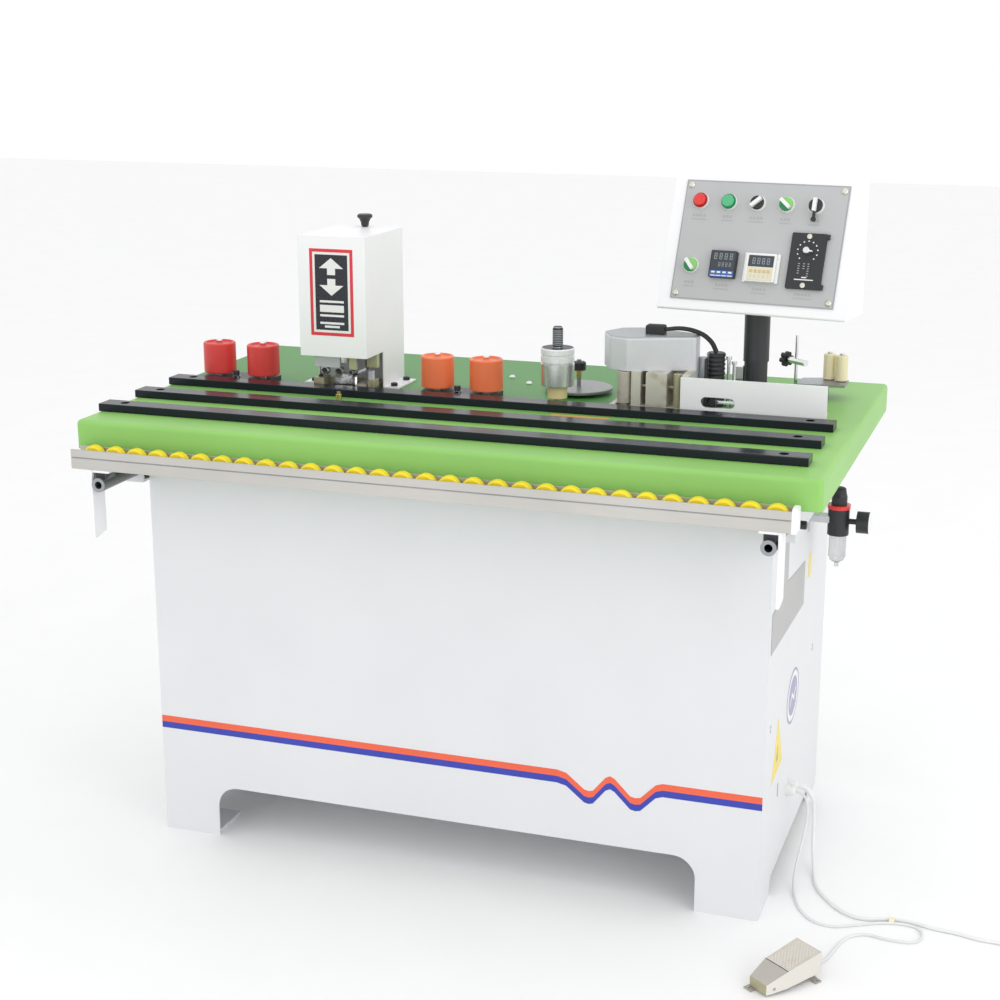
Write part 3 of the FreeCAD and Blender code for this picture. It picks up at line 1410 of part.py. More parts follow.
def build():
    make_cabinet()
    make_rear_panel()
    make_table()
    make_bars()
    make_table_screws()
    make_rail()
    make_wheels()
    make_rail_fittings()
    make_guide_tubes()
    make_lock_screw("lock_screw_left", -1)
    make_lock_screw("lock_screw_right", 1)
    make_roller_brackets()
    for index, x in enumerate(PRESS_X, start=1):
        make_press_roller(index, x)
    make_trim_cover()
    make_trim_base()
    make_trim_head()
    make_cutters()
    make_height_knob()
    make_drive_roller()
    make_reel_disc()
    make_disc_knob()
    make_glue_tank()
    make_glue_roller()
    make_pot_housing()
    make_heater_lead()
    make_lead_conduit()
    make_fence()
    make_infeed_bracket()
    make_post()
    make_control_box()
    make_panel_plate()
    make_instruments()
    make_buttons_and_knobs()
    make_band_guide()
    for index, (x, y) in enumerate(BAND_ROLLERS, start=1):
        make_guide_roller(index, x, y)
    make_band_clamp()
    make_star_knob()
    make_air_regulator()
    make_regulator_knob()
    make_pedal()
    make_glands()
    make_cords()
    make_feed_motor()
    make_chain()
    make_electrics()


def check_and_export():
    """Stop on any failed object or bad shape, then write one STEP file per sub-part."""
    doc.recompute()
    for item in doc.Objects:
        if "Invalid" in item.State or "Error" in item.State:
            raise RuntimeError(f"{item.Name} failed: {item.State}")
    if len(PARTS) > 60:
        raise RuntimeError(f"{len(PARTS)} sub-parts are too many")
    for node, item in PARTS.items():
        if item.Label != node:
            raise RuntimeError(f"{node} is labelled {item.Label}")
        if item.Shape.isNull() or not item.Shape.isValid() or not item.Shape.Solids:
            raise RuntimeError(f"{node} has no valid solid")
    os.makedirs("parts", exist_ok=True)
    for node, item in PARTS.items():
        item.Shape.exportStep(f"parts/{node}.step")
    print(len(PARTS), "sub-parts written")


build()
check_and_export()
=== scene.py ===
import math

import bmesh
import bpy
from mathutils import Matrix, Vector


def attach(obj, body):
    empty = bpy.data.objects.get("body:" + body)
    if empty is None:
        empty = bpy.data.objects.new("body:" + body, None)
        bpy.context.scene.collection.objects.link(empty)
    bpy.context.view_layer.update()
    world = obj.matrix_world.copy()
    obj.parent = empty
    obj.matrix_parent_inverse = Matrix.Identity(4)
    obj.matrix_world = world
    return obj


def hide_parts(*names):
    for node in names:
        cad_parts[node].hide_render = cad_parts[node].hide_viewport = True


# The looks of the edge banding machine, in the part's own frame: +X along the machine to the infeed
# end, +Y to the back, +Z up, the origin on the floor. Blender's objects are in metres. The places of
# pieces and of cord points are written in millimetres and turned into metres as they are built.

MM = 0.001
MAINS_DIAMETER = 6.5
PEDAL_DIAMETER = 5
DRIVE_AXIS = (105, 8)
PRESS_ROLLER_X = (-584, -491, -133, -37)
TABLE_HEIGHT = 800

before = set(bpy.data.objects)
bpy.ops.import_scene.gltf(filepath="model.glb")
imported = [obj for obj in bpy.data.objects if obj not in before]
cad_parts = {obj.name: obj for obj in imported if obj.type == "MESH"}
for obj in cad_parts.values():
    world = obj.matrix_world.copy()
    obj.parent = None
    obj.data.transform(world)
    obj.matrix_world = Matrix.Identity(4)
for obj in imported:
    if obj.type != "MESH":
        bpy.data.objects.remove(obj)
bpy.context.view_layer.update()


# --- camera and cords --------------------------------------------------------------------

def make_camera():
    """The camera stands in front of the machine, off to its right and a little above it."""
    data = bpy.data.cameras.new("camera")
    data.lens = 63.64
    data.sensor_width = 36
    data.clip_start = 0.05
    data.clip_end = 60
    camera = bpy.data.objects.new("camera", data)
    bpy.context.scene.collection.objects.link(camera)
    turn_left = 0.3305
    look_down = 0.2650
    level = math.cos(look_down)
    gaze = Vector((-math.sin(turn_left) * level, math.cos(turn_left) * level, -math.sin(look_down)))
    camera.location = (1.02608, -2.99698, 1.47160)
    camera.rotation_mode = "QUATERNION"
    camera.rotation_quaternion = gaze.to_track_quat("-Z", "Y")
    bpy.context.scene.camera = camera


def add_object(name, data, material, body):
    """Link an object and let it move with a body of the frame."""
    piece = bpy.data.objects.new(name, data)
    bpy.context.scene.collection.objects.link(piece)
    if material is not None:
        data.materials.append(material)
    if body is not None:
        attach(piece, body)
    return piece


MAINS_ROUTE = [
    (566, -31, 136), (588, -31, 136), (601, -32, 127), (608, -33, 111), (610, -34, 87),
    (611, -38, 58), (614, -52, 30), (620, -80, 10), (627, -114, 3.5), (637, -154, 3.5),
    (662, -194, 3.5), (694, -230, 3.5), (729, -244, 3.5), (766, -229, 3.5), (804, -224, 3.5),
    (844, -236, 3.5), (884, -239, 3.5), (922, -250, 3.5), (955, -249, 3.5), (980, -258, 3.5),
    (1000, -278, 3.5),
]
PEDAL_ROUTE = [
    (566, -58, 136), (587, -58, 136), (598, -61, 128), (603, -66, 112), (604, -74, 88),
    (600, -98, 56), (596, -128, 25), (598, -162, 8), (606, -196, 2.5), (622, -242, 2.5),
    (650, -277, 2.5), (684, -285, 2.5), (716, -268, 2.5), (772, -236, 2.5), (830, -237, 2.5),
    (832, -295, 2.5), (774, -298, 2.5), (744, -288, 2.5), (718, -304, 2.5), (704, -336, 2.5),
    (698, -368, 2.5), (692, -398, 4), (681, -424, 10), (667.9, -442.8, 15),
]

COIL_CENTRE = (1046, -314)
COIL_START = 195
TURN_STEPS = 14
# The unseen length lies in seven turns: how many turns have gone, how far out, how high.
COIL_COURSE = [
    (0, 44.5, 3.25), (2, 31.5, 3.25), (3, 31.5, 9.75), (5, 44.5, 9.75), (5.2, 38, 16.25),
    (6.05, 38, 16.25), (6.15, 41.5, 19), (6.3, 44.5, 16.25), (7, 44.5, 16.25),
]
PLUG_TAIL = [(1003.5, -341, 15), (1008, -364, 13), (1021, -382, 13), (1044, -386, 13)]
COIL_ENTRY = (1001.5, -300, 3.25)
RELIEF_ROUTE = [(579, -31, 136), (588, -31, 136), (600, -32, 128), (606.5, -33, 114)]
RELIEF_RADII = [5.4, 5.2, 4.5, 3.7]
def coil_point(turns):
    """A point of the coil after a number of turns."""
    for (start, near_radius, near_height), (end, far_radius, far_height) in zip(COIL_COURSE, COIL_COURSE[1:]):
        if turns <= end:
            share = (turns - start) / (end - start)
            radius = near_radius + share * (far_radius - near_radius)
            height = near_height + share * (far_height - near_height)
            break
    angle = math.radians(COIL_START) + 2 * math.pi * turns
    return (COIL_CENTRE[0] + radius * math.cos(angle), COIL_CENTRE[1] + radius * math.sin(angle), height)


def mains_route():
    """The whole mains lead: from its gland over the floor, round the coil and into the plug."""
    count = COIL_COURSE[-1][0] * TURN_STEPS
    coil = [coil_point(step / TURN_STEPS) for step in range(count + 1)]
    return MAINS_ROUTE + [COIL_ENTRY] + coil + PLUG_TAIL


def make_cord_curve(name, route, radii):
    """A smooth round cord with the route's points as its control points, in millimetres.

    The bevel depth is 1 so that a point's own radius is the cord's radius there, in metres."""
    data = bpy.data.curves.new(name, "CURVE")
    data.dimensions = "3D"
    data.bevel_depth = 1.0
    data.bevel_resolution = 4
    data.resolution_u = 8
    data.use_fill_caps = True
    spline = data.splines.new("NURBS")
    spline.points.add(len(route) - 1)
    for point, place, radius in zip(spline.points, route, radii):
        point.co = (place[0] * MM, place[1] * MM, place[2] * MM, 1)
        point.radius = radius * MM
    spline.order_u = 3
    spline.use_endpoint_u = True
    return add_object(name, data, None, "machine")


def make_even_cord(name, route, diameter):
    """A cord of one thickness."""
    return make_cord_curve(name, route, [diameter / 2] * len(route))


make_camera()
mains_cord = make_even_cord("mains_cord", mains_route(), MAINS_DIAMETER)
pedal_lead = make_even_cord("pedal_lead", PEDAL_ROUTE, PEDAL_DIAMETER)
mains_relief = make_cord_curve("mains_relief", RELIEF_ROUTE, RELIEF_RADII)


# --- materials ---------------------------------------------------------------------------

class Nodes:
    """A short way to write a material's node tree."""

    def __init__(self, name):
        self.material = bpy.data.materials.new(name)
        self.material.use_nodes = True
        self.tree = self.material.node_tree
        self.shader = self.tree.nodes["Principled BSDF"]

    @classmethod
    def of(cls, material):
        """The same short way for a material that is already made."""
        known = cls.__new__(cls)
        known.material = material
        known.tree = material.node_tree
        known.shader = known.tree.nodes["Principled BSDF"]
        return known

    def add(self, kind, **values):
        """A new node. Each value sets an input of that name, or else a setting of the node."""
        node = self.tree.nodes.new(kind)
        for key, value in values.items():
            if key in node.inputs:
                node.inputs[key].default_value = value
            else:
                setattr(node, key, value)
        return node

    def join(self, source, target):
        self.tree.links.new(source, target)

    def place(self, scale):
        """The object's own coordinates, stretched by a scale along each axis."""
        where = self.add("ShaderNodeTexCoord")
        mapping = self.add("ShaderNodeMapping", Scale=scale)
        self.join(where.outputs["Object"], mapping.inputs["Vector"])
        return mapping.outputs["Vector"]

    def noise(self, scale, detail, stretch=(1, 1, 1)):
        """Soft random patches, of about one part in the scale of a metre."""
        noise = self.add("ShaderNodeTexNoise", Scale=scale, Detail=detail)
        self.join(self.place(stretch), noise.inputs["Vector"])
        return noise.outputs["Fac"]

    def ramp(self, source, low, high, start, end):
        """A value that runs from one number to another as the source crosses two levels."""
        mapping = self.add("ShaderNodeMapRange")
        mapping.inputs["From Min"].default_value = start
        mapping.inputs["From Max"].default_value = end
        mapping.inputs["To Min"].default_value = low
        mapping.inputs["To Max"].default_value = high
        self.join(source, mapping.inputs["Value"])
        return mapping.outputs["Result"]

    def multiply(self, first, second):
        """The product of two values."""
        product = self.add("ShaderNodeMath", operation="MULTIPLY")
        self.join(first, product.inputs[0])
        self.join(second, product.inputs[1])
        return product.outputs["Value"]

    def mix(self, factor, first, second):
        """A colour between two, by a factor. Each may be a colour or a socket."""
        mixer = self.add("ShaderNodeMix", data_type="RGBA")
        self.join(factor, mixer.inputs["Factor"])
        for socket, value in ((mixer.inputs[6], first), (mixer.inputs[7], second)):
            if isinstance(value, tuple):
                socket.default_value = (*value, 1)
            else:
                self.join(value, socket)
        return mixer.outputs[2]


def finish(name, colour, rough=0.4, metal=0.0, tone=0.06, tone_scale=6.0, grain=300.0, bump=0.05,
           stretch=(1, 1, 1), rough_spread=0.08, edge=0.0006, coat=0.0, gloss=0.5, wear=None):
    """A procedural finish: slow tone changes, fine grain, an uneven sheen and soft edges.

    wear is a second colour that shows in patches where dirt or use would bring it."""
    n = Nodes(name)
    darker = tuple(channel * (1 - tone) for channel in colour)
    lighter = tuple(min(1.0, channel * (1 + tone * 0.6)) for channel in colour)
    slow = n.noise(tone_scale, 3.0)
    fine = n.noise(grain, 3.0, stretch)
    base = n.mix(n.ramp(slow, 0, 1, 0.35, 0.65), darker, lighter)
    base = n.mix(n.ramp(fine, 0, 0.35, 0.4, 0.7), base, darker)
    if wear is not None:
        patches = n.noise(tone_scale * 4, 8.0)
        base = n.mix(n.ramp(patches, 0, 0.8, 0.55, 0.7), base, wear)
    n.join(base, n.shader.inputs["Base Color"])
    sheen = n.ramp(fine, rough - rough_spread, rough + rough_spread, 0.3, 0.7)
    n.join(sheen, n.shader.inputs["Roughness"])
    n.shader.inputs["Metallic"].default_value = metal
    n.shader.inputs["Specular IOR Level"].default_value = gloss
    n.shader.inputs["Coat Weight"].default_value = coat
    n.shader.inputs["Coat Roughness"].default_value = 0.12
    relief = n.add("ShaderNodeBump", Strength=bump, Distance=0.0005)
    n.join(fine, relief.inputs["Height"])
    if edge > 0:
        soft = n.add("ShaderNodeBevel", Radius=edge)
        soft.samples = 4
        n.join(soft.outputs["Normal"], relief.inputs["Normal"])
    n.join(relief.outputs["Normal"], n.shader.inputs["Normal"])
    return n.material


def print_finish(name, colour, rough=0.35, tone=0.05, grain=300):
    """The finish of prints and stickers: almost smooth, with sharp edges."""
    return finish(name, colour, rough=rough, tone=tone, grain=grain, bump=0.01, edge=0)


def see_through(name, colour, rough=0.15):
    """Clear plastic that lets light through."""
    n = Nodes(name)
    mottled = n.mix(n.noise(60, 3.0), colour, tuple(channel * 0.9 for channel in colour))
    n.join(mottled, n.shader.inputs["Base Color"])
    n.join(n.ramp(n.noise(200, 2.0), rough, rough + 0.08, 0.3, 0.7), n.shader.inputs["Roughness"])
    n.shader.inputs["Transmission Weight"].default_value = 0.7
    n.shader.inputs["IOR"].default_value = 1.45
    return n.material


def make_top_green():
    """The table's green, with painted shade: a darker green on the top behind the bars, fading out at the
    front and the infeed end.
    """
    painted_shade_green = (0.075, 0.27, 0.055)
    just_under = TABLE_HEIGHT * MM - 0.003
    material = finish("green_top", (0.29, 0.59, 0.15), rough=0.4, tone=0.07, tone_scale=2.5, grain=500,
                      bump=0.05, edge=0.0015, gloss=0.3)
    n = Nodes.of(material)
    painted = n.shader.inputs["Base Color"].links[0].from_socket
    where = n.add("ShaderNodeTexCoord")
    split = n.add("ShaderNodeSeparateXYZ")
    n.join(where.outputs["Object"], split.inputs["Vector"])
    back = n.ramp(split.outputs["Y"], 0, 1, -0.16, 0.04)
    left = n.ramp(split.outputs["X"], 1, 0.15, 0.30, 0.62)
    above = n.ramp(split.outputs["Z"], 0, 1, just_under, just_under + 0.0025)
    # The darker green on the top is painted shade, not a colour of the paint.
    painted_shade_mask = n.multiply(n.multiply(back, left), above)
    n.join(n.mix(painted_shade_mask, painted, painted_shade_green), n.shader.inputs["Base Color"])
    return material


LONG = (0.04, 1, 1)

WHITE_PAINT = finish("white_paint", (0.75, 0.76, 0.78), rough=0.42, tone=0.015, grain=700, bump=0.03)
COVER_PAINT = finish("cover_paint", (0.92, 0.91, 0.94), rough=0.36, tone=0.015, grain=700, bump=0.03)
GREEN_TOP = make_top_green()
BAR_GLOSS = finish("bar_gloss", (0.014, 0.017, 0.026), rough=0.2, tone=0.15, grain=60, bump=0.01,
                   stretch=LONG, rough_spread=0.06, gloss=0.22)
RED_RUBBER = finish("red_rubber", (0.74, 0.055, 0.05), rough=0.36, tone=0.1, grain=400, bump=0.04, edge=0.001)
ORANGE_RUBBER = finish("orange_rubber", (0.90, 0.20, 0.075), rough=0.36, tone=0.1, grain=400, bump=0.04,
                       edge=0.001)
CREAM_TYRE = finish("cream_tyre", (0.80, 0.68, 0.34), rough=0.45, tone=0.1, grain=300, bump=0.06)
YELLOW_PLASTIC = finish("yellow_plastic", (0.92, 0.72, 0.02), rough=0.35, tone=0.06, grain=300, bump=0.03)
RAIL_METAL = finish("rail_metal", (0.56, 0.545, 0.51), rough=0.4, metal=0.35, tone=0.05, grain=220,
                    bump=0.04, stretch=LONG)
TUBE_STEEL = finish("tube_steel", (0.20, 0.205, 0.21), rough=0.34, metal=0.8, tone=0.12, grain=260, bump=0.05)
TURNED_STEEL = finish("turned_steel", (0.74, 0.75, 0.77), rough=0.24, metal=0.9, tone=0.03, grain=900,
                      bump=0.01, stretch=(0.15, 0.15, 4), rough_spread=0.01)
CHROME = finish("chrome", (0.82, 0.83, 0.84), rough=0.1, metal=1.0, tone=0.04, grain=200, bump=0.01,
                rough_spread=0.04, edge=0.0004)
ZINC = finish("zinc", (0.62, 0.63, 0.64), rough=0.36, metal=1.0, tone=0.1, grain=120, bump=0.05)
CAST_ALUMINIUM = finish("cast_aluminium", (0.66, 0.67, 0.70), rough=0.42, metal=0.25, tone=0.06, grain=260,
                        bump=0.12, edge=0.0012)
CREAM_METAL = finish("cream_metal", (0.66, 0.63, 0.55), rough=0.4, metal=0.35, tone=0.12, grain=180,
                     bump=0.1, wear=(0.36, 0.31, 0.22))
OLIVE_METAL = finish("olive_metal", (0.45, 0.42, 0.27), rough=0.42, metal=0.4, tone=0.2, grain=160,
                     bump=0.12, wear=(0.2, 0.17, 0.1))
BROWN_GLUE = finish("brown_glue", (0.50, 0.46, 0.39), rough=0.45, metal=0.3, tone=0.2, grain=420, bump=0.3,
                    wear=(0.20, 0.15, 0.10), edge=0.0008)
BLACK_PAINT = finish("black_paint", (0.03, 0.034, 0.037), rough=0.38, tone=0.15, grain=400, bump=0.04)
BLACK_PLASTIC = finish("black_plastic", (0.024, 0.025, 0.028), rough=0.42, tone=0.12, grain=500, bump=0.06)
BLACK_RUBBER = finish("black_rubber", (0.022, 0.022, 0.024), rough=0.6, tone=0.12, grain=350, bump=0.08)
DARK_OXIDE = finish("dark_oxide", (0.05, 0.05, 0.055), rough=0.38, metal=0.8, tone=0.15, grain=300, bump=0.05)
SCREW_STEEL = finish("screw_steel", (0.74, 0.72, 0.64), rough=0.3, metal=0.85, tone=0.1, grain=300, bump=0.04)
BRASS = finish("brass", (0.72, 0.53, 0.24), rough=0.28, metal=1.0, tone=0.12, grain=300, bump=0.04)
GREY_PANEL = finish("grey_panel", (0.49, 0.495, 0.505), rough=0.4, tone=0.03, grain=600, bump=0.03)
DISC_GREY = finish("disc_grey", (0.29, 0.305, 0.30), rough=0.35, metal=0.4, tone=0.06, grain=200, bump=0.05)
# Grey for the painted shadow on the cabinet's right side.
SIDE_SHADOW_GREY = finish("plate_grey", (0.46, 0.46, 0.455), rough=0.42, metal=0.2, tone=0.06, grain=500, bump=0.05)
GUIDE_GREY = finish("guide_grey", (0.36, 0.38, 0.40), rough=0.36, metal=0.8, tone=0.12, grain=200, bump=0.06)
CREAM_PLASTIC = finish("cream_plastic", (0.86, 0.77, 0.50), rough=0.4, tone=0.06, grain=300, bump=0.04)
CORD_WHITE = finish("cord_white", (0.84, 0.845, 0.85), rough=0.5, tone=0.05, grain=600, bump=0.06, edge=0)
CORD_GREY = finish("cord_grey", (0.78, 0.79, 0.80), rough=0.5, tone=0.06, grain=600, bump=0.06, edge=0)
PEDAL_BEIGE = finish("pedal_beige", (0.68, 0.63, 0.57), rough=0.45, tone=0.08, grain=300, bump=0.08,
                     wear=(0.55, 0.50, 0.44))
PEDAL_GREY = finish("pedal_grey", (0.42, 0.39, 0.36), rough=0.48, tone=0.1, grain=260, bump=0.1)
RED_PLASTIC = finish("red_plastic", (0.78, 0.035, 0.03), rough=0.25, tone=0.06, grain=300, bump=0.02,
                     coat=0.3)
GREEN_PLASTIC = finish("green_plastic", (0.08, 0.50, 0.24), rough=0.25, tone=0.06, grain=300, bump=0.02,
                       coat=0.3)
DEEP_RED = finish("deep_red", (0.42, 0.012, 0.015), rough=0.3, tone=0.08, grain=300, bump=0.02)
# Two copies of the selector knobs' green: the lighter one is painted light and the darker one painted shade
# on the knobs; the darker one is also the green button's rim colour.
LIT_GREEN_PLASTIC = finish("lit_green_plastic", (0.25, 0.62, 0.16), rough=0.3, tone=0.08, grain=300, bump=0.02)
DARK_GREEN = finish("dark_green", (0.01, 0.26, 0.08), rough=0.3, tone=0.08, grain=300, bump=0.02)
WHITE_PLASTIC = finish("white_plastic", (0.85, 0.85, 0.84), rough=0.35, tone=0.03, grain=400, bump=0.02)
IVORY_PLASTIC = finish("ivory_plastic", (0.75, 0.70, 0.55), rough=0.38, tone=0.05, grain=400, bump=0.02)
DISPLAY_GLASS = finish("display_glass", (0.05, 0.06, 0.075), rough=0.12, tone=0.2, grain=80, bump=0.005)
DISPLAY_MARK = print_finish("display_mark", (0.26, 0.30, 0.32), rough=0.3, tone=0.08)
BLUE_PRINT = print_finish("blue_print", (0.05, 0.13, 0.42), rough=0.32, tone=0.06, grain=400)
STRIPE_RED = print_finish("stripe_red", (0.86, 0.13, 0.055), grain=400)
STRIPE_BLUE = print_finish("stripe_blue", (0.03, 0.05, 0.42), tone=0.06, grain=400)
LABEL_RED = print_finish("label_red", (0.74, 0.03, 0.05), grain=400)
LABEL_BLACK = print_finish("label_black", (0.012, 0.014, 0.024), rough=0.3, tone=0.15)
LABEL_WHITE = print_finish("label_white", (0.84, 0.84, 0.84), rough=0.36, tone=0.03)
WARNING_YELLOW = print_finish("warning_yellow", (0.86, 0.68, 0.07), rough=0.36)
BADGE_MAUVE = print_finish("badge_mauve", (0.33, 0.30, 0.47), tone=0.08)
LABEL_GREY = print_finish("label_grey", (0.42, 0.425, 0.435), rough=0.4, tone=0.06, grain=600)
# Grey for printed marks, and also for the painted shadow round the panel plate.
PRINT_AND_SHADE_GREY = print_finish("print_and_shade_grey", (0.36, 0.37, 0.39), rough=0.4, tone=0.08, grain=600)
PALE_YELLOW = finish("pale_yellow", (0.86, 0.84, 0.58), rough=0.45, tone=0.05, grain=300, bump=0.03, edge=0)
PALE_BRASS = finish("pale_brass", (0.56, 0.55, 0.34), rough=0.42, metal=0.2, tone=0.12, grain=180, bump=0.08)
# A darker grey for the pot housing's top: painted shade.
POT_TOP_SHADE = finish("pot_top_shade", (0.38, 0.40, 0.41), rough=0.36, metal=0.35, tone=0.08, grain=260, bump=0.1)
DRUM_LIGHT = finish("drum_light", (0.80, 0.81, 0.83), rough=0.3, metal=0.2, tone=0.05, grain=500, bump=0.04)
PEDAL_CREAM = finish("pedal_cream", (0.76, 0.73, 0.67), rough=0.45, tone=0.06, grain=300, bump=0.06)
TAN_EDGE = finish("tan_edge", (0.72, 0.40, 0.11), rough=0.42, tone=0.16, grain=160, bump=0.03,
                  stretch=LONG, edge=0)
MOTOR_GREY = finish("motor_grey", (0.30, 0.33, 0.36), rough=0.42, tone=0.08, grain=250, bump=0.08)
CLEAR_PLASTIC = see_through("clear_plastic", (0.86, 0.87, 0.88))
PEDAL_TOE = finish("pedal_toe", (0.50, 0.47, 0.43), rough=0.45, tone=0.07, grain=300, bump=0.06)


# --- painting the frame's own parts ------------------------------------------------------

def paint(material, *names):
    """Give whole frame parts one finish."""
    for name in names:
        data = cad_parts[name].data
        data.materials.clear()
        data.materials.append(material)


def paint_parts(name, plain, rules):
    """Give a frame part one finish, and another wherever a rule's test on the face's place holds."""
    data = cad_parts[name].data
    data.materials.clear()
    data.materials.append(plain)
    for index, (material, test) in enumerate(rules, start=1):
        data.materials.append(material)
        for face in data.polygons:
            if test(face.center / MM, face.normal):
                face.material_index = index


def near(x, y, radius):
    """A test for faces within a distance of an upright line."""
    return lambda place, normal: math.hypot(place.x - x, place.y - y) <= radius


def above(height):
    """A test for faces above a height."""
    return lambda place, normal: place.z > height


def below(height):
    """A test for faces below a height."""
    return lambda place, normal: place.z < height


PEDAL_MIDDLE = Vector((638, -484, 0))
PEDAL_ALONG = Vector((0.588, 0.809, 0))
PEDAL_ACROSS = Vector((0.809, -0.588, 0))
TREAD_SEAM = -15.8


def pedal_reach(place):
    """How far a place is from the pedal's middle towards its heel."""
    return (place - PEDAL_MIDDLE).dot(PEDAL_ALONG)


def drive_reach(place):
    """How far a place is from the drive roller's axis."""
    return math.hypot(place.x - DRIVE_AXIS[0], place.y - DRIVE_AXIS[1])


def washer_test(x):
    """A test for the washer faces round a roller bracket's set screw."""
    return lambda place, normal: math.hypot(place.x - x, place.y) < 7.2 and 809.1 < place.z < 813.2


def paint_frame():
    """Each of the frame's own parts gets its finish."""
    paint(WHITE_PAINT, "cabinet_shell", "rear_panel")
    paint(GREEN_TOP, "table_top")
    paint(BAR_GLOSS, "glide_bars")
    paint(RED_RUBBER, "press_roller_1", "press_roller_2")
    paint(ORANGE_RUBBER, "press_roller_3", "press_roller_4")
    paint(COVER_PAINT, "trim_cover", "fence_plate", "rail_end_fittings")
    paint(YELLOW_PLASTIC, "rail_wheels")
    paint(RAIL_METAL, "rail_channel")
    paint(TURNED_STEEL, "trim_cutter_upper", "trim_cutter_lower")
    paint(BLACK_PLASTIC, "lock_screw_left", "lock_screw_right", "star_knob", "regulator_knob")
    paint(BLACK_PLASTIC, "trim_height_knob")
    paint(DISC_GREY, "reel_disc")
    paint(CAST_ALUMINIUM, "trim_head_upper")
    # The housing's upward faces take a darker grey: painted shade on its top.
    paint_parts("pot_housing", CAST_ALUMINIUM, [(POT_TOP_SHADE, lambda place, normal: normal.z > 0.5)])
    paint(BLACK_RUBBER, "heater_lead")
    paint(BLACK_PAINT, "post")
    paint(CHROME, "band_clamp")
    paint(CREAM_PLASTIC, "guide_roller_1", "guide_roller_2")
    paint(WHITE_PLASTIC, "cord_glands")
    paint(CORD_WHITE, "mains_lead", "mains_coil")
    paint(CORD_GREY, "pedal_cord")
    paint(BLACK_PLASTIC, "mains_plug")
    paint(PEDAL_GREY, "pedal_base")
    paint_parts("pedal_tread", PEDAL_CREAM, [
        (PEDAL_BEIGE, lambda place, normal: normal.z > 0.7 and pedal_reach(place) > TREAD_SEAM),
        (PEDAL_TOE, lambda place, normal: normal.z > 0.7 and pedal_reach(place) <= TREAD_SEAM),
        (OLIVE_METAL, lambda place, normal: normal.dot(PEDAL_ALONG) < -0.8),
    ])
    paint(MOTOR_GREY, "feed_motor")
    paint(DARK_OXIDE, "drive_chain")
    paint(ZINC, "electrics_board")
    paint(COVER_PAINT, "control_box")
    paint(RED_PLASTIC, "button_red")
    paint(GREEN_PLASTIC, "button_green")
    paint(BROWN_GLUE, "glue_roller")

    paint_parts("panel_plate", GREY_PANEL, [(SCREW_STEEL, lambda place, normal: is_plate_screw(place))])
    paint_parts("panel_instruments", WHITE_PLASTIC, [
        (BLACK_PLASTIC, lambda place, normal: is_black_instrument(place)),
    ])
    # The two domed screws are bright, the strip stop is brass and the other screws are dark.
    paint_parts("table_screws", DARK_OXIDE, [
        (CHROME, near(-49, 211, 9)), (CHROME, near(1, 163, 9)), (BRASS, near(-281, -95, 9)),
    ])
    pins = [(CHROME, near(x, 24, 12.5)) for x in PRESS_ROLLER_X]
    first, second, third, fourth = PRESS_ROLLER_X
    washers = [(CHROME, washer_test(x)) for x in ((first + second) / 2, (third + fourth) / 2)]
    paint_parts("roller_brackets", BLACK_PAINT, pins + washers)
    # The drum's upper band, the nut on its top and the tyre under it.
    paint_parts("drive_roller", TURNED_STEEL, [
        (DRUM_LIGHT, lambda place, normal: 877 < place.z < 903.5 and drive_reach(place) > 12),
        (DARK_OXIDE, above(903.5)),
        (CREAM_TYRE, lambda place, normal: 811 < place.z < 834.9 and drive_reach(place) > 9),
    ])
    paint_parts("disc_knob", BLACK_PLASTIC, [(BRASS, below(844))])
    paint_parts("trim_base", OLIVE_METAL, [
        (MOTOR_GREY, below(799)),
        (CAST_ALUMINIUM, above(815)),
    ])
    # The block's guide post, and the tank behind it.
    paint_parts("glue_tank", CREAM_METAL, [
        (OLIVE_METAL, near(327, 8, 8)),
        (CAST_ALUMINIUM, lambda place, normal: place.y > 62.5),
    ])
    paint_parts("lead_conduit", BLACK_PLASTIC, [(GUIDE_GREY, near(356.5, 71, 12))])
    # The linkage posts, the screw in the fence's slot and the rod beside it.
    paint_parts("infeed_bracket", COVER_PAINT, [
        (CHROME, lambda place, normal: place.x < 432 and place.y > 40),
        (DARK_OXIDE, near(393, -3, 9)),
        (CHROME, lambda place, normal: 397 < place.x < 437 and 6 < place.y < 14),
    ])
    paint_parts("guide_plate", GUIDE_GREY, [(CHROME, above(830.2))])
    paint_parts("guide_tubes", TUBE_STEEL, [
        (BLACK_PLASTIC, above(713.6)),
        (GUIDE_GREY, lambda place, normal: place.y < -443.9),
    ])
    # The regulator's ring, its gauge's dial, its bowl and its bracket.
    paint_parts("air_regulator", BLACK_PLASTIC, [
        (RED_PLASTIC, lambda place, normal: place.z > 632.2 and place.x < 640),
        (LABEL_WHITE, lambda place, normal: place.x > 667.3),
        (CLEAR_PLASTIC, below(583.9)),
        (ZINC, lambda place, normal: place.x < 588),
    ])


# --- small pieces ------------------------------------------------------------------------

def make_mesh(name, points, faces, material, body, edge=0.0, smooth=False):
    """A mesh from points in millimetres, with its edges eased if a width is given."""
    data = bpy.data.meshes.new(name)
    data.from_pydata([Vector(point) * MM for point in points], [], faces)
    work = bmesh.new()
    work.from_mesh(data)
    bmesh.ops.recalc_face_normals(work, faces=work.faces)
    if edge > 0:
        bmesh.ops.bevel(work, geom=list(work.edges), offset=edge * MM, segments=2, profile=0.6,
                        affect="EDGES")
    work.to_mesh(data)
    work.free()
    if smooth:
        for face in data.polygons:
            face.use_smooth = True
    return add_object(name, data, material, body)


class Place:
    """A flat working place: an origin and the directions across it, up it and out of it."""

    def __init__(self, origin, across, up):
        self.origin = Vector(origin)
        self.across = Vector(across).normalized()
        self.up = Vector(up).normalized()
        self.out = self.across.cross(self.up)

    def point(self, u, v, w=0.0):
        """A point so far across, up and out of the place."""
        return self.origin + self.across * u + self.up * v + self.out * w


